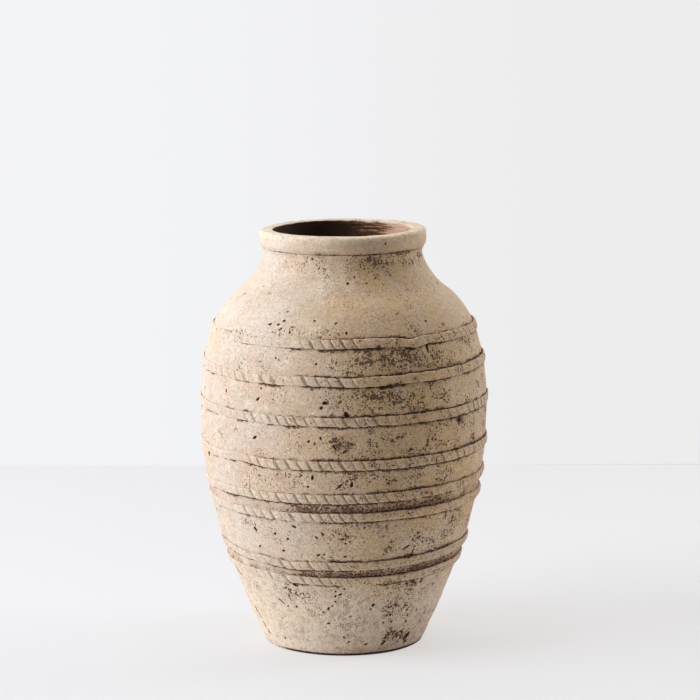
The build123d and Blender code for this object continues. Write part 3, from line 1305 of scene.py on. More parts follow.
@dataclass(frozen=True)
class ClayFinish:
    """Weathered low-fired clay: cream slip over tan, with specks, dirt and old wash, and painted
    shade and highlights.
    """

    name: str
    cream: Colour = (0.662, 0.574, 0.500)
    tan: Colour = (0.672, 0.455, 0.240)
    blush: Colour = (0.675, 0.480, 0.365)
    lime_and_highlight: Colour = (0.860, 0.730, 0.580)
    film: Colour = (0.460, 0.290, 0.200)
    wash: Colour = (0.225, 0.130, 0.080)
    umber: Colour = (0.088, 0.045, 0.025)
    stain: Colour = (0.300, 0.175, 0.105)
    dirt_and_shade: Colour = (0.028, 0.018, 0.012)
    soot_and_shade: Colour = (0.042, 0.022, 0.012)
    scorch_and_shade: Colour = (0.180, 0.090, 0.045)
    inside: Colour = (0.720, 0.455, 0.345)
    blush_share: float = 0.42
    lime_share: float = 0.45
    patch_size: float = 38.0
    blush_size: float = 26.0
    lime_size: float = 15.0
    small_size: float = 6.5
    grain_size: float = 2.5
    sand_size: float = 1.6
    streak_size: float = 1.8
    mottle: float = 0.45
    grit: float = 0.8
    sanding: float = 0.95
    speck_size: float = 1.9
    dot_size: float = 2.35
    blot_size: float = 4.3
    speck_rarity: float = 0.755
    dot_reach: float = 0.55
    blot_reach: float = 0.46
    raggedness: float = 1.3
    bump: float = 0.8
    bump_height: float = 0.55
    roughness: float = 0.88

    def dots(self, bench: Bench, place: Sock, size: float, reach: float, density: Sock) -> Sock:
        """Scatter separate dots, more and larger where they lie thick.

        Args:
            bench: The material's nodes.
            place: The place on the clay.
            size: Rough distance between dots where they lie thickest, in millimetres.
            reach: Radius of the largest dots, as a share of that distance.
            density: How thick the dots lie, from 0 to 1.

        Returns:
            How far inside a dot the place lies, below 0 outside.
        """
        inputs = {"Vector": place, "Scale": 1.0 / (size * MM)}
        away = bench.node("ShaderNodeTexVoronoi", inputs)
        tint = bench.node("ShaderNodeTexVoronoi", inputs, output="Color")
        chance = bench.node("ShaderNodeSeparateColor", {"Color": tint}, output="Red")
        return (density * 1.6 - chance).clamp() * reach - away

    def material(self) -> bpy.types.Material:
        """Mix the clay, from the slip up to the dirt and painted shade that lie on it."""
        bench = Bench(self.name)
        place = bench.node("ShaderNodeTexCoord", output="Object")
        small = bench.noise(place, self.small_size, 3.0)
        grain = bench.noise(place, self.grain_size, 2.0, 0.6)
        sand = bench.noise(place, self.sand_size, 0.0, 0.5)
        lumps, grit, dust = small - 0.5, grain - 0.5, sand - 0.5

        patch = bench.noise(place, self.patch_size, 3.0) - 0.5
        tone = (bench.mark("tone") + patch * 0.45).clamp()
        colour = bench.blend(tone, self.cream, self.tan)
        pink = bench.noise(place, self.blush_size, 4.0, 0.6).ease(0.47, 0.62) * self.blush_share
        pink = (pink + bench.noise(place, 3.6, 2.0).ease(0.48, 0.62) * 0.22).clamp()
        colour = bench.blend(pink, colour, self.blush)
        # The lime mark holds lime stains plus painted highlights on the coils' lumps and edges and
        # along the lip's top.
        chalk_and_highlight = bench.noise(place, self.lime_size, 4.0, 0.65).ease(0.52, 0.66) * self.lime_share
        chalk_and_highlight = chalk_and_highlight.over(bench.mark("lime_and_highlight") * small.ease(0.30, 0.56)) * (1.05 - tone * 0.45)
        colour = bench.blend(chalk_and_highlight, colour, self.lime_and_highlight)

        within = bench.mark("inside")
        outside = 1.0 - within
        streak = bench.noise(bench.stretch(place, (0.07, 0.07, 1.0)), self.streak_size) - 0.5
        # Dark inner wall: partly soot, partly painted shade where the window light doesn't reach.
        soot_and_shade_share = (bench.mark("soot_and_shade") + streak * 2.0 + lumps * 0.6).ease(0.0, 1.1)
        lining = bench.blend(soot_and_shade_share.ease(0.0, 0.55), self.inside, self.scorch_and_shade)
        lining = bench.blend(soot_and_shade_share.ease(0.4, 1.0), lining, self.soot_and_shade)
        colour = bench.blend(within, colour, bench.scale(lining, 1.0 + streak * 1.2))

        thick = bench.mark("speck")
        rough = thick.clamp() * 0.75 + 0.38
        shade = grit * self.grit + dust * self.sanding + lumps * self.mottle
        colour = bench.scale(colour, shade * rough + 1.0)

        washed = bench.mark("wash")
        speckled = grit * 2.4 + dust * 2.2
        film = (washed + lumps * 0.8).ease(0.0, 1.0) * washed.ease(0.0, 0.2)
        wash = (washed + speckled).ease(0.35, 1.15) * washed.ease(0.1, 0.4)
        deep = (washed + speckled * 0.7 + lumps).ease(0.80, 1.35)
        density = thick + (bench.noise(place, 10.0) - 0.5) * thick.ease(0.0, 0.5) * 1.4
        soiled = (density + lumps * 1.2).ease(0.30, 1.1) * 0.34
        for share, tint in (
            (film * 0.62, self.film),
            (wash * 0.92, self.wash),
            (deep * 0.9, self.umber),
            # painted shade in the notch grooves
            (bench.mark("groove") * 0.85, self.wash),
            (soiled * outside, self.stain),
        ):
            colour = bench.blend(share, colour, tint)

        pepper = bench.noise(place, self.speck_size, 1.0, 0.5)
        fine = ((pepper + density * 0.19 - self.speck_rarity) * 26.0 + 0.5).clamp()
        shaken = bench.shake(place, 1.9, self.raggedness)
        dots = self.dots(bench, shaken, self.dot_size, self.dot_reach, density)
        dots = dots.over(self.dots(bench, shaken, self.blot_size, self.blot_reach, density * 0.85))
        rims = ((dots + 0.2) * 6.0 + 0.5).clamp() * density.ease(0.3, 0.8) * outside
        colour = bench.scale(colour, rims * 0.24 + 1.0)
        specks = fine.over((dots * 9.0 + 0.5).clamp()) * outside
        ink = bench.blend(density.ease(0.2, 0.70), self.stain, self.umber)
        colour = bench.blend(specks * 0.9, colour, ink)

        # The dirt mark holds real dirt plus painted shade along the bands and under the foot.
        worn = bench.mark("dirt_and_shade")
        halo = (worn + lumps * 1.6).ease(0.10, 0.9) * worn.ease(0.0, 0.3)
        colour = bench.blend(halo * 0.75, colour, self.film)
        dirt_and_shade = (worn + grit * 2.2 + dust * 1.6).ease(0.20, 0.68) * worn.ease(0.02, 0.25)
        dirt_and_shade_tint = bench.blend(worn.ease(0.20, 0.60), self.film, self.umber)
        dirt_and_shade_tint = bench.blend(worn.ease(0.80, 1.05), dirt_and_shade_tint, self.dirt_and_shade)
        colour = bench.blend(dirt_and_shade * 0.95, colour, dirt_and_shade_tint)

        height = (grain * 0.7 + sand * 0.35 + small * 0.5) * rough - specks * 0.8
        inputs = {"Strength": self.bump, "Distance": self.bump_height * MM, "Height": height}
        shader = {
            "Base Color": colour,
            "Roughness": self.roughness + grit * 0.12,
            "Normal": bench.node("ShaderNodeBump", inputs),
            "Specular IOR Level": 0.25,
        }
        surface = bench.node("ShaderNodeBsdfPrincipled", shader)
        bench.node("ShaderNodeOutputMaterial", {"Surface": surface})
        return bench.owner


@dataclass(frozen=True)
class Lamp:
    """A broad soft lamp aimed at the jar: its direction in degrees, its size and power."""

    name: str
    angle: float
    rise: float
    width: float
    height: float
    power: float
    distance: float = 2.2
    aim_height: float = 0.21

    def build(self) -> None:
        """Set the lamp in the scene."""
        lamp = bpy.data.lights.new(self.name, "AREA")
        lamp.shape = "RECTANGLE"
        lamp.energy = self.power
        lamp.size, lamp.size_y = self.width, self.height
        light = set_in_scene(self.name, lamp)
        angle, rise = math.radians(self.angle), math.radians(self.rise)
        level = math.cos(rise)
        toward = Vector((math.sin(angle) * level, -math.cos(angle) * level, math.sin(rise)))
        light.location = Vector((0.0, 0.0, self.aim_height)) + toward * self.distance
        light.rotation_euler = toward.to_track_quat("Z", "Y").to_euler()


@dataclass(frozen=True)
class Studio:
    """A pale floor and backdrop, a wide window at the left, and lamps behind and above."""

    wall_back: float = 0.87
    floor_front: float = 4.0
    half_width: float = 3.5
    wall_height: float = 3.2
    lamps: tuple[Lamp, ...] = (
        Lamp("window_light", -74.0, 25.0, 1.6, 2.0, 55.0),
        Lamp("back_lamp", 110.0, 25.0, 1.2, 1.2, 28.0),
        Lamp("top_lamp", 0.0, 90.0, 1.6, 1.6, 13.0),
    )
    fill_strength: float = 0.012
    floor_cast: float = 0.36
    floor_left: Colour = (0.850, 0.850, 0.870)
    floor_right: Colour = (0.854, 0.851, 0.861)
    glow_tint: Colour = (1.045, 0.990, 0.935)
    lit_tint: Colour = (0.920, 1.018, 1.115)
    wall_left: Colour = (0.900, 0.905, 0.925)
    wall_right: Colour = (0.842, 0.842, 0.848)
    fade: float = 0.36
    plain: Colour = (0.80, 0.80, 0.81)
    seam_height: float = 2.2
    seam_shadow: float = 0.13

    def ground(
        self, name: str, left: Colour, right: Colour, cast: float, seam_shadow: float = 0.0
    ) -> bpy.types.Material:
        """Mix a background that shows its own pale colour and keeps the jar's shadow.

        Args:
            name: The material's name.
            left: Colour at the left of the view.
            right: Colour at the right.
            cast: Share of the colour that the lamps light.
            seam_shadow: How much darker a thin painted shadow line at the bottom runs, towards the
                right.

        Returns:
            The material, which the camera looks through from behind.
        """
        bench = Bench(name)
        path, glossy, through = (
            bench.node("ShaderNodeLightPath", output=f"Is {kind} Ray")
            for kind in ("Camera", "Glossy", "Transmission")
        )
        seen = (path + glossy + through).clamp()
        place = bench.node("ShaderNodeTexCoord", output="Object")
        side, up = (
            bench.node("ShaderNodeSeparateXYZ", {"Vector": place}, output=axis)
            for axis in ("X", "Z")
        )
        colour = bench.blend(side.ease(-self.fade, self.fade), left, right)
        # Painted shadow line where the backdrop meets the floor, towards the right.
        line = (up * -1.0).ease(-self.seam_height * MM, -self.seam_height * MM / 2.0)
        colour = bench.scale(colour, 1.0 - line * side.ease(0.05, 0.6) * seam_shadow)
        glow, lit = colour, bench.blend(1.0 - cast, colour, (0.0, 0.0, 0.0))
        if cast > 0.0:
            glow, lit = bench.stretch(glow, self.glow_tint), bench.stretch(lit, self.lit_tint)
        glow = bench.node("ShaderNodeEmission", {"Color": glow, "Strength": 1.0 - cast})
        matt = bench.node("ShaderNodeBsdfDiffuse", {"Color": lit})
        shown = bench.node("ShaderNodeAddShader", {0: glow, 1: matt})
        plain = bench.node("ShaderNodeBsdfDiffuse", {"Color": self.plain})
        mixed = bench.node("ShaderNodeMixShader", {0: seen, 1: plain, 2: shown})
        back = bench.node("ShaderNodeNewGeometry", output="Backfacing") * path
        clear = bench.node("ShaderNodeBsdfTransparent")
        mixed = bench.node("ShaderNodeMixShader", {0: back, 1: mixed, 2: clear})
        bench.node("ShaderNodeOutputMaterial", {"Surface": mixed})
        return bench.owner

    def sheet(self, name: str, corners: Sequence[Sequence[float]], finish: Any) -> None:
        """Set one flat sheet of the background in the scene."""
        mesh = bpy.data.meshes.new(name)
        mesh.from_pydata(corners, [], [(0, 1, 2, 3)])
        mesh.materials.append(finish)
        piece = set_in_scene(name, mesh)

    def build(self) -> None:
        """Set up the floor, the backdrop, the lamps and the even fill."""
        wide, back = self.half_width, self.wall_back
        front, top = -self.floor_front, self.wall_height
        floor = ((-wide, front, 0.0), (wide, front, 0.0), (wide, back, 0.0), (-wide, back, 0.0))
        wall = ((-wide, back, 0.0), (wide, back, 0.0), (wide, back, top), (-wide, back, top))
        laid = self.ground("floor_paint", self.floor_left, self.floor_right, self.floor_cast)
        hung = self.ground("wall_paint", self.wall_left, self.wall_right, 0.0, self.seam_shadow)
        self.sheet("studio_floor", floor, laid)
        self.sheet("studio_wall", wall, hung)
        for lamp in self.lamps:
            lamp.build()

        bench = Bench("even_fill", "worlds")
        even = {"Color": (1.0, 1.0, 1.0), "Strength": self.fill_strength}
        fill = bench.node("ShaderNodeBackground", even)
        seen = bench.node("ShaderNodeBackground", {"Color": self.wall_right})
        path = bench.node("ShaderNodeLightPath", output="Is Camera Ray")
        mixed = bench.node("ShaderNodeMixShader", {0: path, 1: fill, 2: seen})
        bench.node("ShaderNodeOutputWorld", {"Surface": mixed})
        bpy.context.scene.world = bench.owner
        bpy.context.scene.view_settings.view_transform = "Standard"


COURSES = (
    "foot_course",
    "lower_belly_course",
    "middle_belly_course",
    "upper_belly_course",
    "lower_shoulder_course",
    "middle_shoulder_course",
    "upper_shoulder_course",
)
SLOTS = {"base_slab": "foot_clay", "neck_ring": "lip_clay", "lip_ring": "lip_clay"}

TONE_KEYS: Keys = (
    (-180, 0.45), (-130, 0.32), (-90, 0.2), (-62, 0.1), (-40, 0.12), (-15, 0.5),
    (8, 0.9), (30, 1.0), (45, 0.95), (60, 0.8), (90, 0.62), (140, 0.55),
)
TONE_LEVELS: Keys = ((0, 0.7), (62, 0.72), (92, 1.0))
SPECK_KEYS: Keys = (
    (-180, 0.35), (-110, 0.32), (-80, 0.26), (-45, 0.36), (-15, 0.44),
    (5, 0.55), (30, 0.66), (60, 0.6), (90, 0.48), (140, 0.4),
)
CREVICE_LEVELS: Keys = ((60, 0.8), (180, 0.84), (240, 0.93), (285, 1.0))
SPECK_LEVELS: Keys = (
    (0, 0.55), (60, 0.72), (85, 1.0), (328, 1.0), (340, 0.5), (375, 0.55),
    (392, 1.0), (403, 0.9), (408, 0.45), (421, 0.2),
)
LINING_KEYS: Keys = ((-180, 1.3), (-90, 0.7), (60, 1.2), (110, 3.0), (150, 3.4))
# Inside darkening by angle: partly soot, partly painted shade on the inner wall that the window
# doesn't light.
SOOT_AND_SHADE_KEYS: Keys = (
    (-180, 1.0), (-150, 1.25), (-90, 1.15), (0, 0.6), (90, 0.0), (122, 0.0),
    (138, 0.25), (152, 0.6), (166, 0.85),
)
COLLAR_KEYS: Keys = (
    (-180, 0.5), (-90, 0.2), (-62, 0.05), (-56, 0.6), (-40, 0.5), (-30, 0.25),
    (-22, 0.35), (-18, 0.85), (-6, 0.85), (0, 0.35), (10, 0.15), (16, 0.5),
    (24, 0.8), (40, 0.75), (55, 0.65), (66, 0.15), (110, 0.5),
)
# Strength of the painted contact shadow under the foot, by angle.
FOOT_SHADOW_KEYS: Keys = (
    (-180, 0.9), (-80, 0.0), (-64, 0.1), (-50, 0.4), (-38, 1.0), (66, 1.25),
    (80, 0.9), (120, 0.9),
)
# Pale share by height: paler towards the foot, and along the lip's top, where it is partly a
# painted highlight.
PALE_KEYS: Keys = (
    (0, 0.9), (50, 0.85), (80, 0.55), (110, 0.25), (150, 0.0), (300, 0.0),
    (330, 0.2), (362, 0.3), (385, 0.1), (404, 0.1), (416, 0.3), (420.5, 1.0),
)
HIDDEN_KEYS: Keys = ((-180, 0.8), (-110, 0.5), (-80, 0.0), (80, 0.0), (110, 0.7))

ROPES = (
    Rope(
        "rope_band_1", 85.1, 0.2, 0.5, 2.9, 78,
        crisp=((228, 0.1), (250, 0.35), (268, 0.7), (335, 0.8), (352, 0.5), (375, 0.25),
               (440, 0.12), (470, 0.3)),
        bold=((228, 0.6), (262, 0.65), (300, 0.85), (420, 0.95), (460, 1.0)),
        over=((236, 0.45), (290, 0.5), (310, 0.9), (440, 0.95), (462, 0.5)),
        under=((240, 0.05), (285, 0.1), (293, 0.8), (304, 0.75), (310, 0.5), (336, 0.6),
               (345, 0.3), (370, 0.4), (380, 0.85), (424, 0.8), (445, 0.4)),
        kinks=((80, 45.0, 4.9), (-80, 40.0, 3.0)),
    ),
    Rope(
        "rope_band_2", 103.7, -1.9, 0.4, 3.0, 79,
        crisp=((228, 0.3), (244, 0.7), (262, 0.9), (305, 0.9), (335, 0.7), (352, 0.45),
               (372, 0.2), (440, 0.12), (465, 0.45)),
        bold=((222, 0.2), (240, 0.5), (262, 0.75), (300, 0.9), (440, 0.95), (466, 1.0)),
        over=((228, 0.55), (262, 0.5), (300, 0.42), (328, 0.4), (334, 0.9), (350, 0.85),
              (354, 0.5), (386, 0.75), (440, 0.9), (468, 0.6)),
        under=((228, 0.5), (270, 0.55), (290, 0.8), (350, 0.6), (440, 0.7), (466, 0.5)),
        kinks=((-69, 6.0, 1.1), (-26, 8.0, -1.4), (80, 45.0, 4.9), (-80, 40.0, 3.0)),
    ),
    Rope(
        "rope_band_3", 153.8, 0.1, 1.8, 3.1, 80,
        crisp=((212, 0.15), (232, 0.35), (254, 0.75), (262, 0.95), (300, 0.95), (330, 0.8),
               (352, 0.6), (372, 0.3), (400, 0.15), (455, 0.12), (476, 0.35)),
        bold=((212, 0.5), (250, 0.6), (280, 0.85), (340, 0.95), (476, 1.0)),
        over=((215, 0.2), (280, 0.25), (288, 0.85), (350, 0.95), (430, 1.0), (446, 0.8),
              (470, 0.4)),
        under=((228, 0.35), (246, 0.55), (266, 0.55), (276, 0.2), (300, 0.35), (306, 0.75),
               (374, 0.95), (384, 0.5), (406, 0.5), (414, 0.9), (440, 0.75), (460, 0.3)),
        kinks=((63, 7.0, 1.4), (88, 12.0, 1.6)),
    ),
    Rope(
        "rope_band_4", 173.5, -0.7, 2.6, 2.9, 90,
        crisp=((208, 0.2), (232, 0.45), (250, 0.9), (386, 0.9), (396, 0.55), (410, 0.3),
               (450, 0.25), (480, 0.4)),
        bold=((208, 0.45), (240, 0.6), (266, 0.85), (300, 0.95), (480, 1.0)),
        over=((210, 0.1), (266, 0.15), (280, 0.45), (350, 0.55), (364, 0.35), (370, 0.8),
              (430, 0.8), (445, 0.55), (476, 0.4)),
        under=((212, 0.35), (236, 0.7), (250, 0.55), (262, 0.75), (284, 0.9), (440, 0.95),
               (462, 0.6), (480, 0.4)),
        kinks=((-76, 8.0, -2.0), (88, 12.0, 1.5)),
    ),
    Rope(
        "rope_band_5", 207.9, -1.6, 1.4, 2.4, 84,
        crisp=((206, 0.1), (246, 0.15), (254, 0.8), (262, 1.0), (360, 1.0), (368, 0.6),
               (386, 0.5), (440, 0.42), (470, 0.35), (485, 0.5)),
        bold=((206, 0.3), (246, 0.4), (262, 0.9), (300, 1.0), (485, 1.0)),
        over=((206, 0.1), (252, 0.15), (264, 0.45), (310, 0.35), (314, 1.0), (330, 1.0),
              (336, 0.8), (480, 0.95)),
        under=((206, 0.2), (222, 0.35), (232, 0.6), (256, 0.5), (264, 0.7), (290, 0.55),
               (298, 0.9), (350, 0.95), (440, 1.0), (468, 0.7), (484, 0.5)),
        kinks=((-45, 7.0, 1.7), (-30, 6.0, -1.0)),
    ),
    Rope(
        "rope_band_6", 251.3, -2.0, 1.0, 1.9, 89,
        crisp=((204, 0.15), (238, 0.3), (247, 0.7), (254, 0.95), (300, 0.95), (310, 0.6),
               (330, 0.3), (340, 0.5), (348, 1.0), (372, 0.95), (380, 0.45), (430, 0.3),
               (465, 0.4), (484, 0.6)),
        bold=((204, 0.7), (240, 0.65), (258, 0.95), (310, 0.85), (345, 1.0), (484, 1.0)),
        over=((204, 0.3), (240, 0.4), (246, 0.8), (250, 0.15), (274, 0.2), (280, 0.5),
              (318, 0.55), (322, 1.0), (440, 1.0), (460, 0.7), (484, 0.6)),
        under=((204, 0.5), (214, 0.35), (234, 0.4), (244, 0.8), (250, 0.2), (258, 0.5),
               (284, 0.6), (290, 0.9), (297, 0.9), (300, 0.4), (316, 0.45), (320, 0.85),
               (456, 0.9), (466, 1.0), (484, 0.7)),
    ),
    Rope(
        "rope_band_7", 290.5, -2.7, 2.0, 2.6, 77,
        crisp=((206, 0.2), (222, 0.7), (272, 0.85), (280, 0.7), (285, 0.15), (296, 0.3),
               (302, 0.95), (346, 0.95), (356, 0.6), (364, 0.2), (430, 0.1), (445, 0.3),
               (470, 0.25), (484, 0.5)),
        bold=((206, 0.35), (226, 0.6), (270, 0.7), (284, 0.4), (300, 0.9), (360, 1.0),
              (484, 1.0)),
        over=((206, 0.05), (286, 0.05), (298, 0.45), (322, 0.8), (350, 0.85), (356, 0.6),
              (390, 0.7), (396, 1.0), (410, 1.0), (484, 0.85)),
        under=((206, 0.55), (218, 0.3), (232, 0.35), (250, 0.45), (256, 0.1), (264, 0.9),
               (282, 0.9), (286, 0.35), (300, 0.45), (306, 1.0), (350, 1.0), (358, 0.75),
               (370, 0.8), (374, 1.0), (404, 1.0), (408, 0.4), (426, 0.6), (484, 0.8)),
        kinks=((-13, 6.0, 1.0), (2, 5.0, -0.7)),
    ),
    Rope(
        "rope_band_8", 323.2, -0.4, 1.2, 3.0, 80,
        crisp=((214, 0.3), (240, 0.4), (262, 0.4), (266, 0.08), (292, 0.05), (300, 0.85),
               (350, 0.9), (358, 0.4), (368, 0.12), (420, 0.1), (426, 0.3), (450, 0.3),
               (474, 0.45)),
        bold=((214, 0.4), (240, 0.3), (264, 0.25), (290, 0.25), (302, 0.8), (345, 1.0),
              (410, 0.9), (424, 0.8), (474, 1.0)),
        over=((214, 0.05), (296, 0.05), (310, 0.3), (344, 0.5), (352, 0.8), (410, 0.9),
              (424, 0.6), (470, 0.5)),
        under=((214, 0.05), (236, 0.1), (244, 0.35), (286, 0.45), (292, 0.75), (308, 0.7),
               (311, 0.2), (317, 0.3), (321, 1.0), (381, 1.0), (384, 0.1), (402, 0.15),
               (406, 0.9), (430, 0.7), (470, 0.4)),
        kinks=((30, 4.0, -2.1), (12, 9.0, 0.8), (37, 3.0, 0.4)),
    ),
)

CLOSE_PAIRS: tuple[tuple[str, str, Keys], ...] = (
    ("rope_band_2", "rope_band_1",
     ((230, 0.25), (250, 0.35), (290, 0.5), (312, 0.55), (322, 0.7), (330, 0.95), (350, 1.0),
      (380, 0.9), (425, 1.0), (438, 0.9), (450, 0.6), (462, 0.4))),
    ("rope_band_4", "rope_band_3",
     ((210, 0.2), (245, 0.22), (262, 0.35), (276, 0.3), (288, 0.65), (306, 0.85), (350, 0.85),
      (440, 0.85), (448, 0.5), (476, 0.3))),
)

PITS = (
    (288, 311.5, 1.6, 1.2), (284.5, 321, 2.8, 1.6, 25), (278.5, 324.5, 2.6, 2.0, 10),
    (270.5, 324, 3.2, 1.7, 20), (281, 329, 3.2, 1.4, 50), (292, 327, 1.8, 1.5),
    (290, 332.5, 2.0, 1.3, 100), (315, 321, 1.8, 1.4), (336.5, 323.5, 2.6, 1.3, 40),
    (347, 333.5, 2.4, 1.8, 90), (397, 314, 1.8, 1.5), (426, 321, 2.2, 1.9),
    (443, 324, 3.2, 1.3, -35), (226.5, 391, 2.9, 1.7, 80), (276, 358, 1.8, 1.6),
    (279, 360, 1.4, 1.0, -40), (316.5, 364, 1.9, 1.6), (258, 399, 4.0, 1.7, 45),
    (261, 388.5, 2.0, 1.4), (325.5, 403, 4.4, 2.8, -5, 2.0), (321.5, 408, 3.0, 2.6),
    (206.5, 411, 2.8, 1.5, -35), (255, 437.5, 4.2, 1.9, 30, 1.9), (321, 438.5, 3.2, 1.6, -60),
    (309, 441.5, 2.4, 2.2), (315, 444, 2.6, 1.2, -80), (209.6, 453, 4.4, 4.0, 85, 1.8),
    (347, 415, 5.0, 3.4, -50, 2.1), (335, 448, 4.6, 1.3, -60), (345, 452, 4.2, 1.5, 35),
    (427, 445, 2.6, 2.2), (411, 449, 2.6, 1.8), (313, 477.5, 4.2, 2.1, 85, 2.1),
    (308.5, 486.5, 2.2, 1.8), (339.5, 486.5, 6.6, 1.6, 38, 1.8), (352, 484.5, 4.6, 2.2, 75, 2.0),
    (256.2, 528.5, 4.0, 2.6, 115, 2.0), (295, 526, 3.4, 1.7, -20), (276, 533, 2.2, 1.7),
    (288.5, 538.5, 2.4, 2.1), (323, 533.5, 4.0, 1.6, -60), (317, 537, 3.2, 1.4, -45),
    (343, 539, 2.8, 2.0), (346, 543, 2.2, 1.3, -40), (261, 545.5, 2.8, 1.4),
    (284.5, 550, 2.5, 2.1), (319, 554.5, 2.8, 1.6, 30), (324.5, 554, 1.9, 1.6),
    (345.5, 556, 3.0, 1.3, 20), (296, 585, 4.6, 1.9, -10, 1.8), (406, 546.5, 8.0, 1.4, 30, 1.6),
    (410.5, 553.5, 2.8, 1.8, 70), (419, 536, 2.2, 1.7), (459, 419.5, 6.0, 3.6, 75, 2.0),
    (463.6, 413.1, 9.0, 1.6, 30, 1.5), (427.2, 347, 8.5, 2.1, 94, 1.9),
    (265, 248.5, 3.4, 1.3, -40), (355, 277, 2.2, 1.3, 80), (348, 283, 2.4, 1.8, 10),
    (376, 278, 1.8, 1.4), (384, 242.5, 1.7, 1.4), (367, 283, 1.7, 1.3), (314, 259, 1.9, 1.4),
    (263, 285, 1.5, 1.2), (244, 293, 4.6, 1.2, 45, 0.7), (268.6, 292, 2.4, 1.0, 50, 0.7),
    (219.5, 504, 9.0, 1.8, -30, 0.8), (239.8, 570.8, 13.0, 1.6, -25, 0.8),
    (256.5, 607.5, 6.0, 1.7, -72, 0.6), (260.5, 614, 6.5, 1.6, -72, 0.6),
    (265.5, 624, 6.5, 1.5, -72, 0.5), (269.8, 630.5, 3.6, 1.6, -72, 0.6),
    (282.3, 601.3, 5.5, 1.4, -45), (296.7, 606.8, 1.9, 1.7), (288.4, 606, 1.5, 1.4),
    (328.7, 608.3, 3.2, 2.2, 70, 0.9), (332.4, 605.6, 2.0, 1.5), (323.7, 611.8, 2.2, 1.2, 10),
    (328.2, 623, 3.4, 1.5, 20), (285.5, 637, 2.6, 1.3, 85), (335.7, 595.6, 2.2, 1.7),
    (335.7, 591, 2.0, 1.5, 90), (335.7, 601, 1.7, 1.7), (340.2, 594, 3.2, 1.5, 25),
    (373, 604.8, 3.6, 2.3, 50), (370.6, 608.9, 1.8, 1.6), (389.7, 614.7, 2.4, 2.1),
    (382.7, 622.2, 1.8, 1.7), (390.7, 621.3, 2.2, 1.5, 60), (404.7, 605.2, 2.2, 1.7),
    (406.3, 609.2, 2.4, 1.9), (406.5, 614.5, 2.6, 1.5, 80), (405, 620.8, 3.4, 1.9, 85),
    (415.8, 609.7, 2.8, 1.7, 90), (405.6, 635.3, 9.0, 4.4, 50, 1.6),
    (403.8, 640.5, 4.0, 2.4, 60), (382.5, 642, 5.0, 2.6, 50), (396, 640.8, 2.6, 1.9, 40),
    (388, 633.8, 2.0, 1.8), (391.8, 633.8, 2.2, 1.7), (384.8, 637, 2.0, 1.8),
    (400.5, 631, 3.4, 2.3, -50), (350.3, 616.4, 2.0, 1.6), (343.7, 637, 3.0, 1.2, -60),
    (348.3, 641.6, 2.2, 1.6), (365.3, 643.7, 3.0, 1.8, 15), (412, 581, 5.0, 1.6, 10),
    (406, 583, 3.0, 1.8, -30),
)

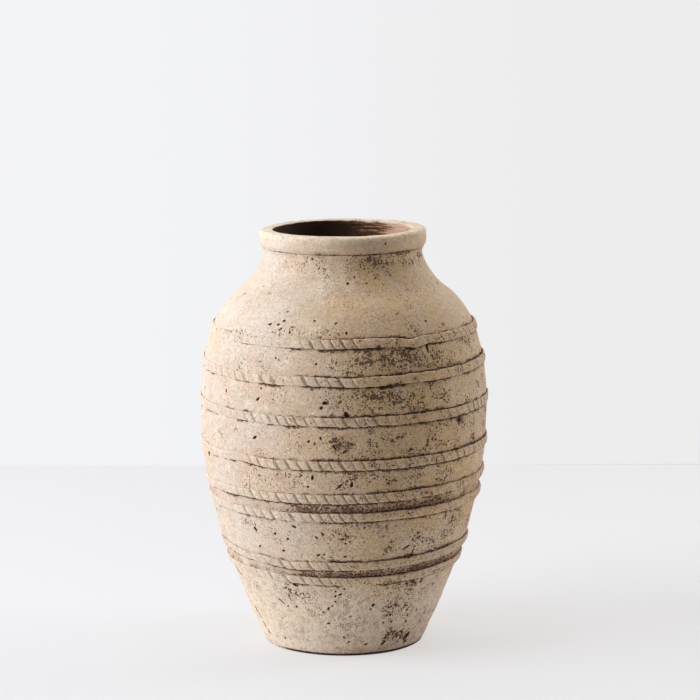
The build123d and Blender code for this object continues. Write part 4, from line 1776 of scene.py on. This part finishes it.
STAINS = {
    Mark.SPECKS: (
        (398, 359, 34, 14, 1.1), (340, 365, 22, 10, 0.65), (375, 397, 42, 12, 0.8),
        (430, 392, 26, 13, 0.6), (350, 405, 18, 9, 0.7), (340, 445, 20, 12, 0.9),
        (384, 440, 34, 11, 0.62), (420, 452, 38, 9, 0.75), (262, 476, 14, 9, 0.65),
        (390, 482, 40, 9, 0.6), (352, 478, 16, 9, 0.5), (250, 524, 16, 10, 0.55),
        (342, 535, 28, 14, 0.6), (380, 526, 30, 6, 0.6), (296, 592, 24, 14, 0.72),
        (342, 602, 12, 20, 0.35), (412, 583, 16, 4, 1.0), (396, 634, 20, 9, 0.95),
        (402, 600, 26, 18, 0.6), (282, 332, 30, 9, 0.5), (236, 333, 26, 8, 0.62),
        (330, 335, 26, 8, 0.5), (376, 269, 40, 14, 0.62), (300, 262, 30, 14, 0.4),
        (420, 255, 16, 8, 0.8), (245, 560, 14, 12, 0.35), (390, 320, 60, 18, 0.35),
        (245, 392, 24, 12, 0.35), (398, 254, 26, 4, 1.0), (374, 262, 16, 10, 0.8),
        (438, 445, 12, 8, 0.8), (437, 368, 12, 8, 0.85), (392, 610, 18, 20, 0.7),
        (388, 632, 14, 10, 0.8), (372, 596, 8, 7, 0.6), (432, 366, 16, 10, 0.85),
        (380, 352, 22, 8, 0.75), (437, 358, 14, 12, 0.9), (410, 402, 36, 9, 0.9),
        (372, 409, 26, 7, 0.75), (452, 440, 20, 12, 0.75), (445, 516, 6, 6, 0.9),
        (370, 363, 26, 10, 0.74), (298, 446, 9, 9, 0.65), (222, 436, 16, 12, 0.42),
        (256, 586, 12, 16, 0.45), (430, 500, 30, 5, 0.85), (468, 400, 14, 16, 0.6),
    ),
    Mark.LIME: (
        (346, 281, 11, 18, 0.85), (330, 240, 16, 6, 0.4), (424, 541, 32, 14, 1.0),
        (356, 602, 30, 28, 1.0), (300, 560, 26, 16, 0.45), (375, 472, 14, 7, 0.55),
        (404, 312, 22, 10, 0.5), (452, 395, 14, 14, 0.5), (425, 347, 6, 6, 0.7),
        (340, 620, 30, 16, 0.5), (324, 286, 20, 20, 0.75),
    ),
    Mark.WASH: (
        (379, 267, 13, 5, 0.42), (322, 254, 9, 4, 0.5), (350, 245, 15, 4, 0.3),
        (376, 259, 20, 8, 0.25), (346, 446, 6, 11, 0.75), (258, 504, 8, 5, 0.35),
        (400, 374, 12, 4, 0.7), (434, 382, 13, 5, 0.62), (280, 478, 9, 9, 0.3),
        (340, 398, 16, 8, 0.25),
    ),
    Mark.DIRT: (
        (383, 388, 4.5, 1.7, 1.5), (389.5, 386, 4.5, 2.1, 1.7), (397, 384, 4.5, 1.5, 1.4),
        (378, 347, 2.5, 2.5, 1.3), (414, 378, 3, 2.2, 0.7), (458, 418, 4, 4, 0.9),
        (401, 373.5, 7, 1.6, 0.9), (461, 414.5, 5, 1.8, 1.2), (426, 410, 5, 1.6, 0.7),
        (347, 418, 6, 6, 0.55), (461, 419, 4, 5, 0.6), (338, 452, 9, 4, 0.35),
    ),
}


def main() -> None:
    """Build the jar in order, set it in the studio, and aim the camera."""
    logging.basicConfig(level=logging.INFO, format="%(name)s: %(message)s")
    wall, view = WallLine(), Viewpoint()
    skin = ClaySkin(wall, view)
    slots = ("wall_clay", "lip_clay", "foot_clay", "rope_clay")
    finishes = {slot: ClayFinish(slot).material() for slot in slots}
    JarBody(skin, SectionPlan(wall)).build(finishes)
    RopeBands(skin).build(finishes["rope_clay"])
    Studio().build()
    view.aim()


if __name__ == "__main__":
    main()
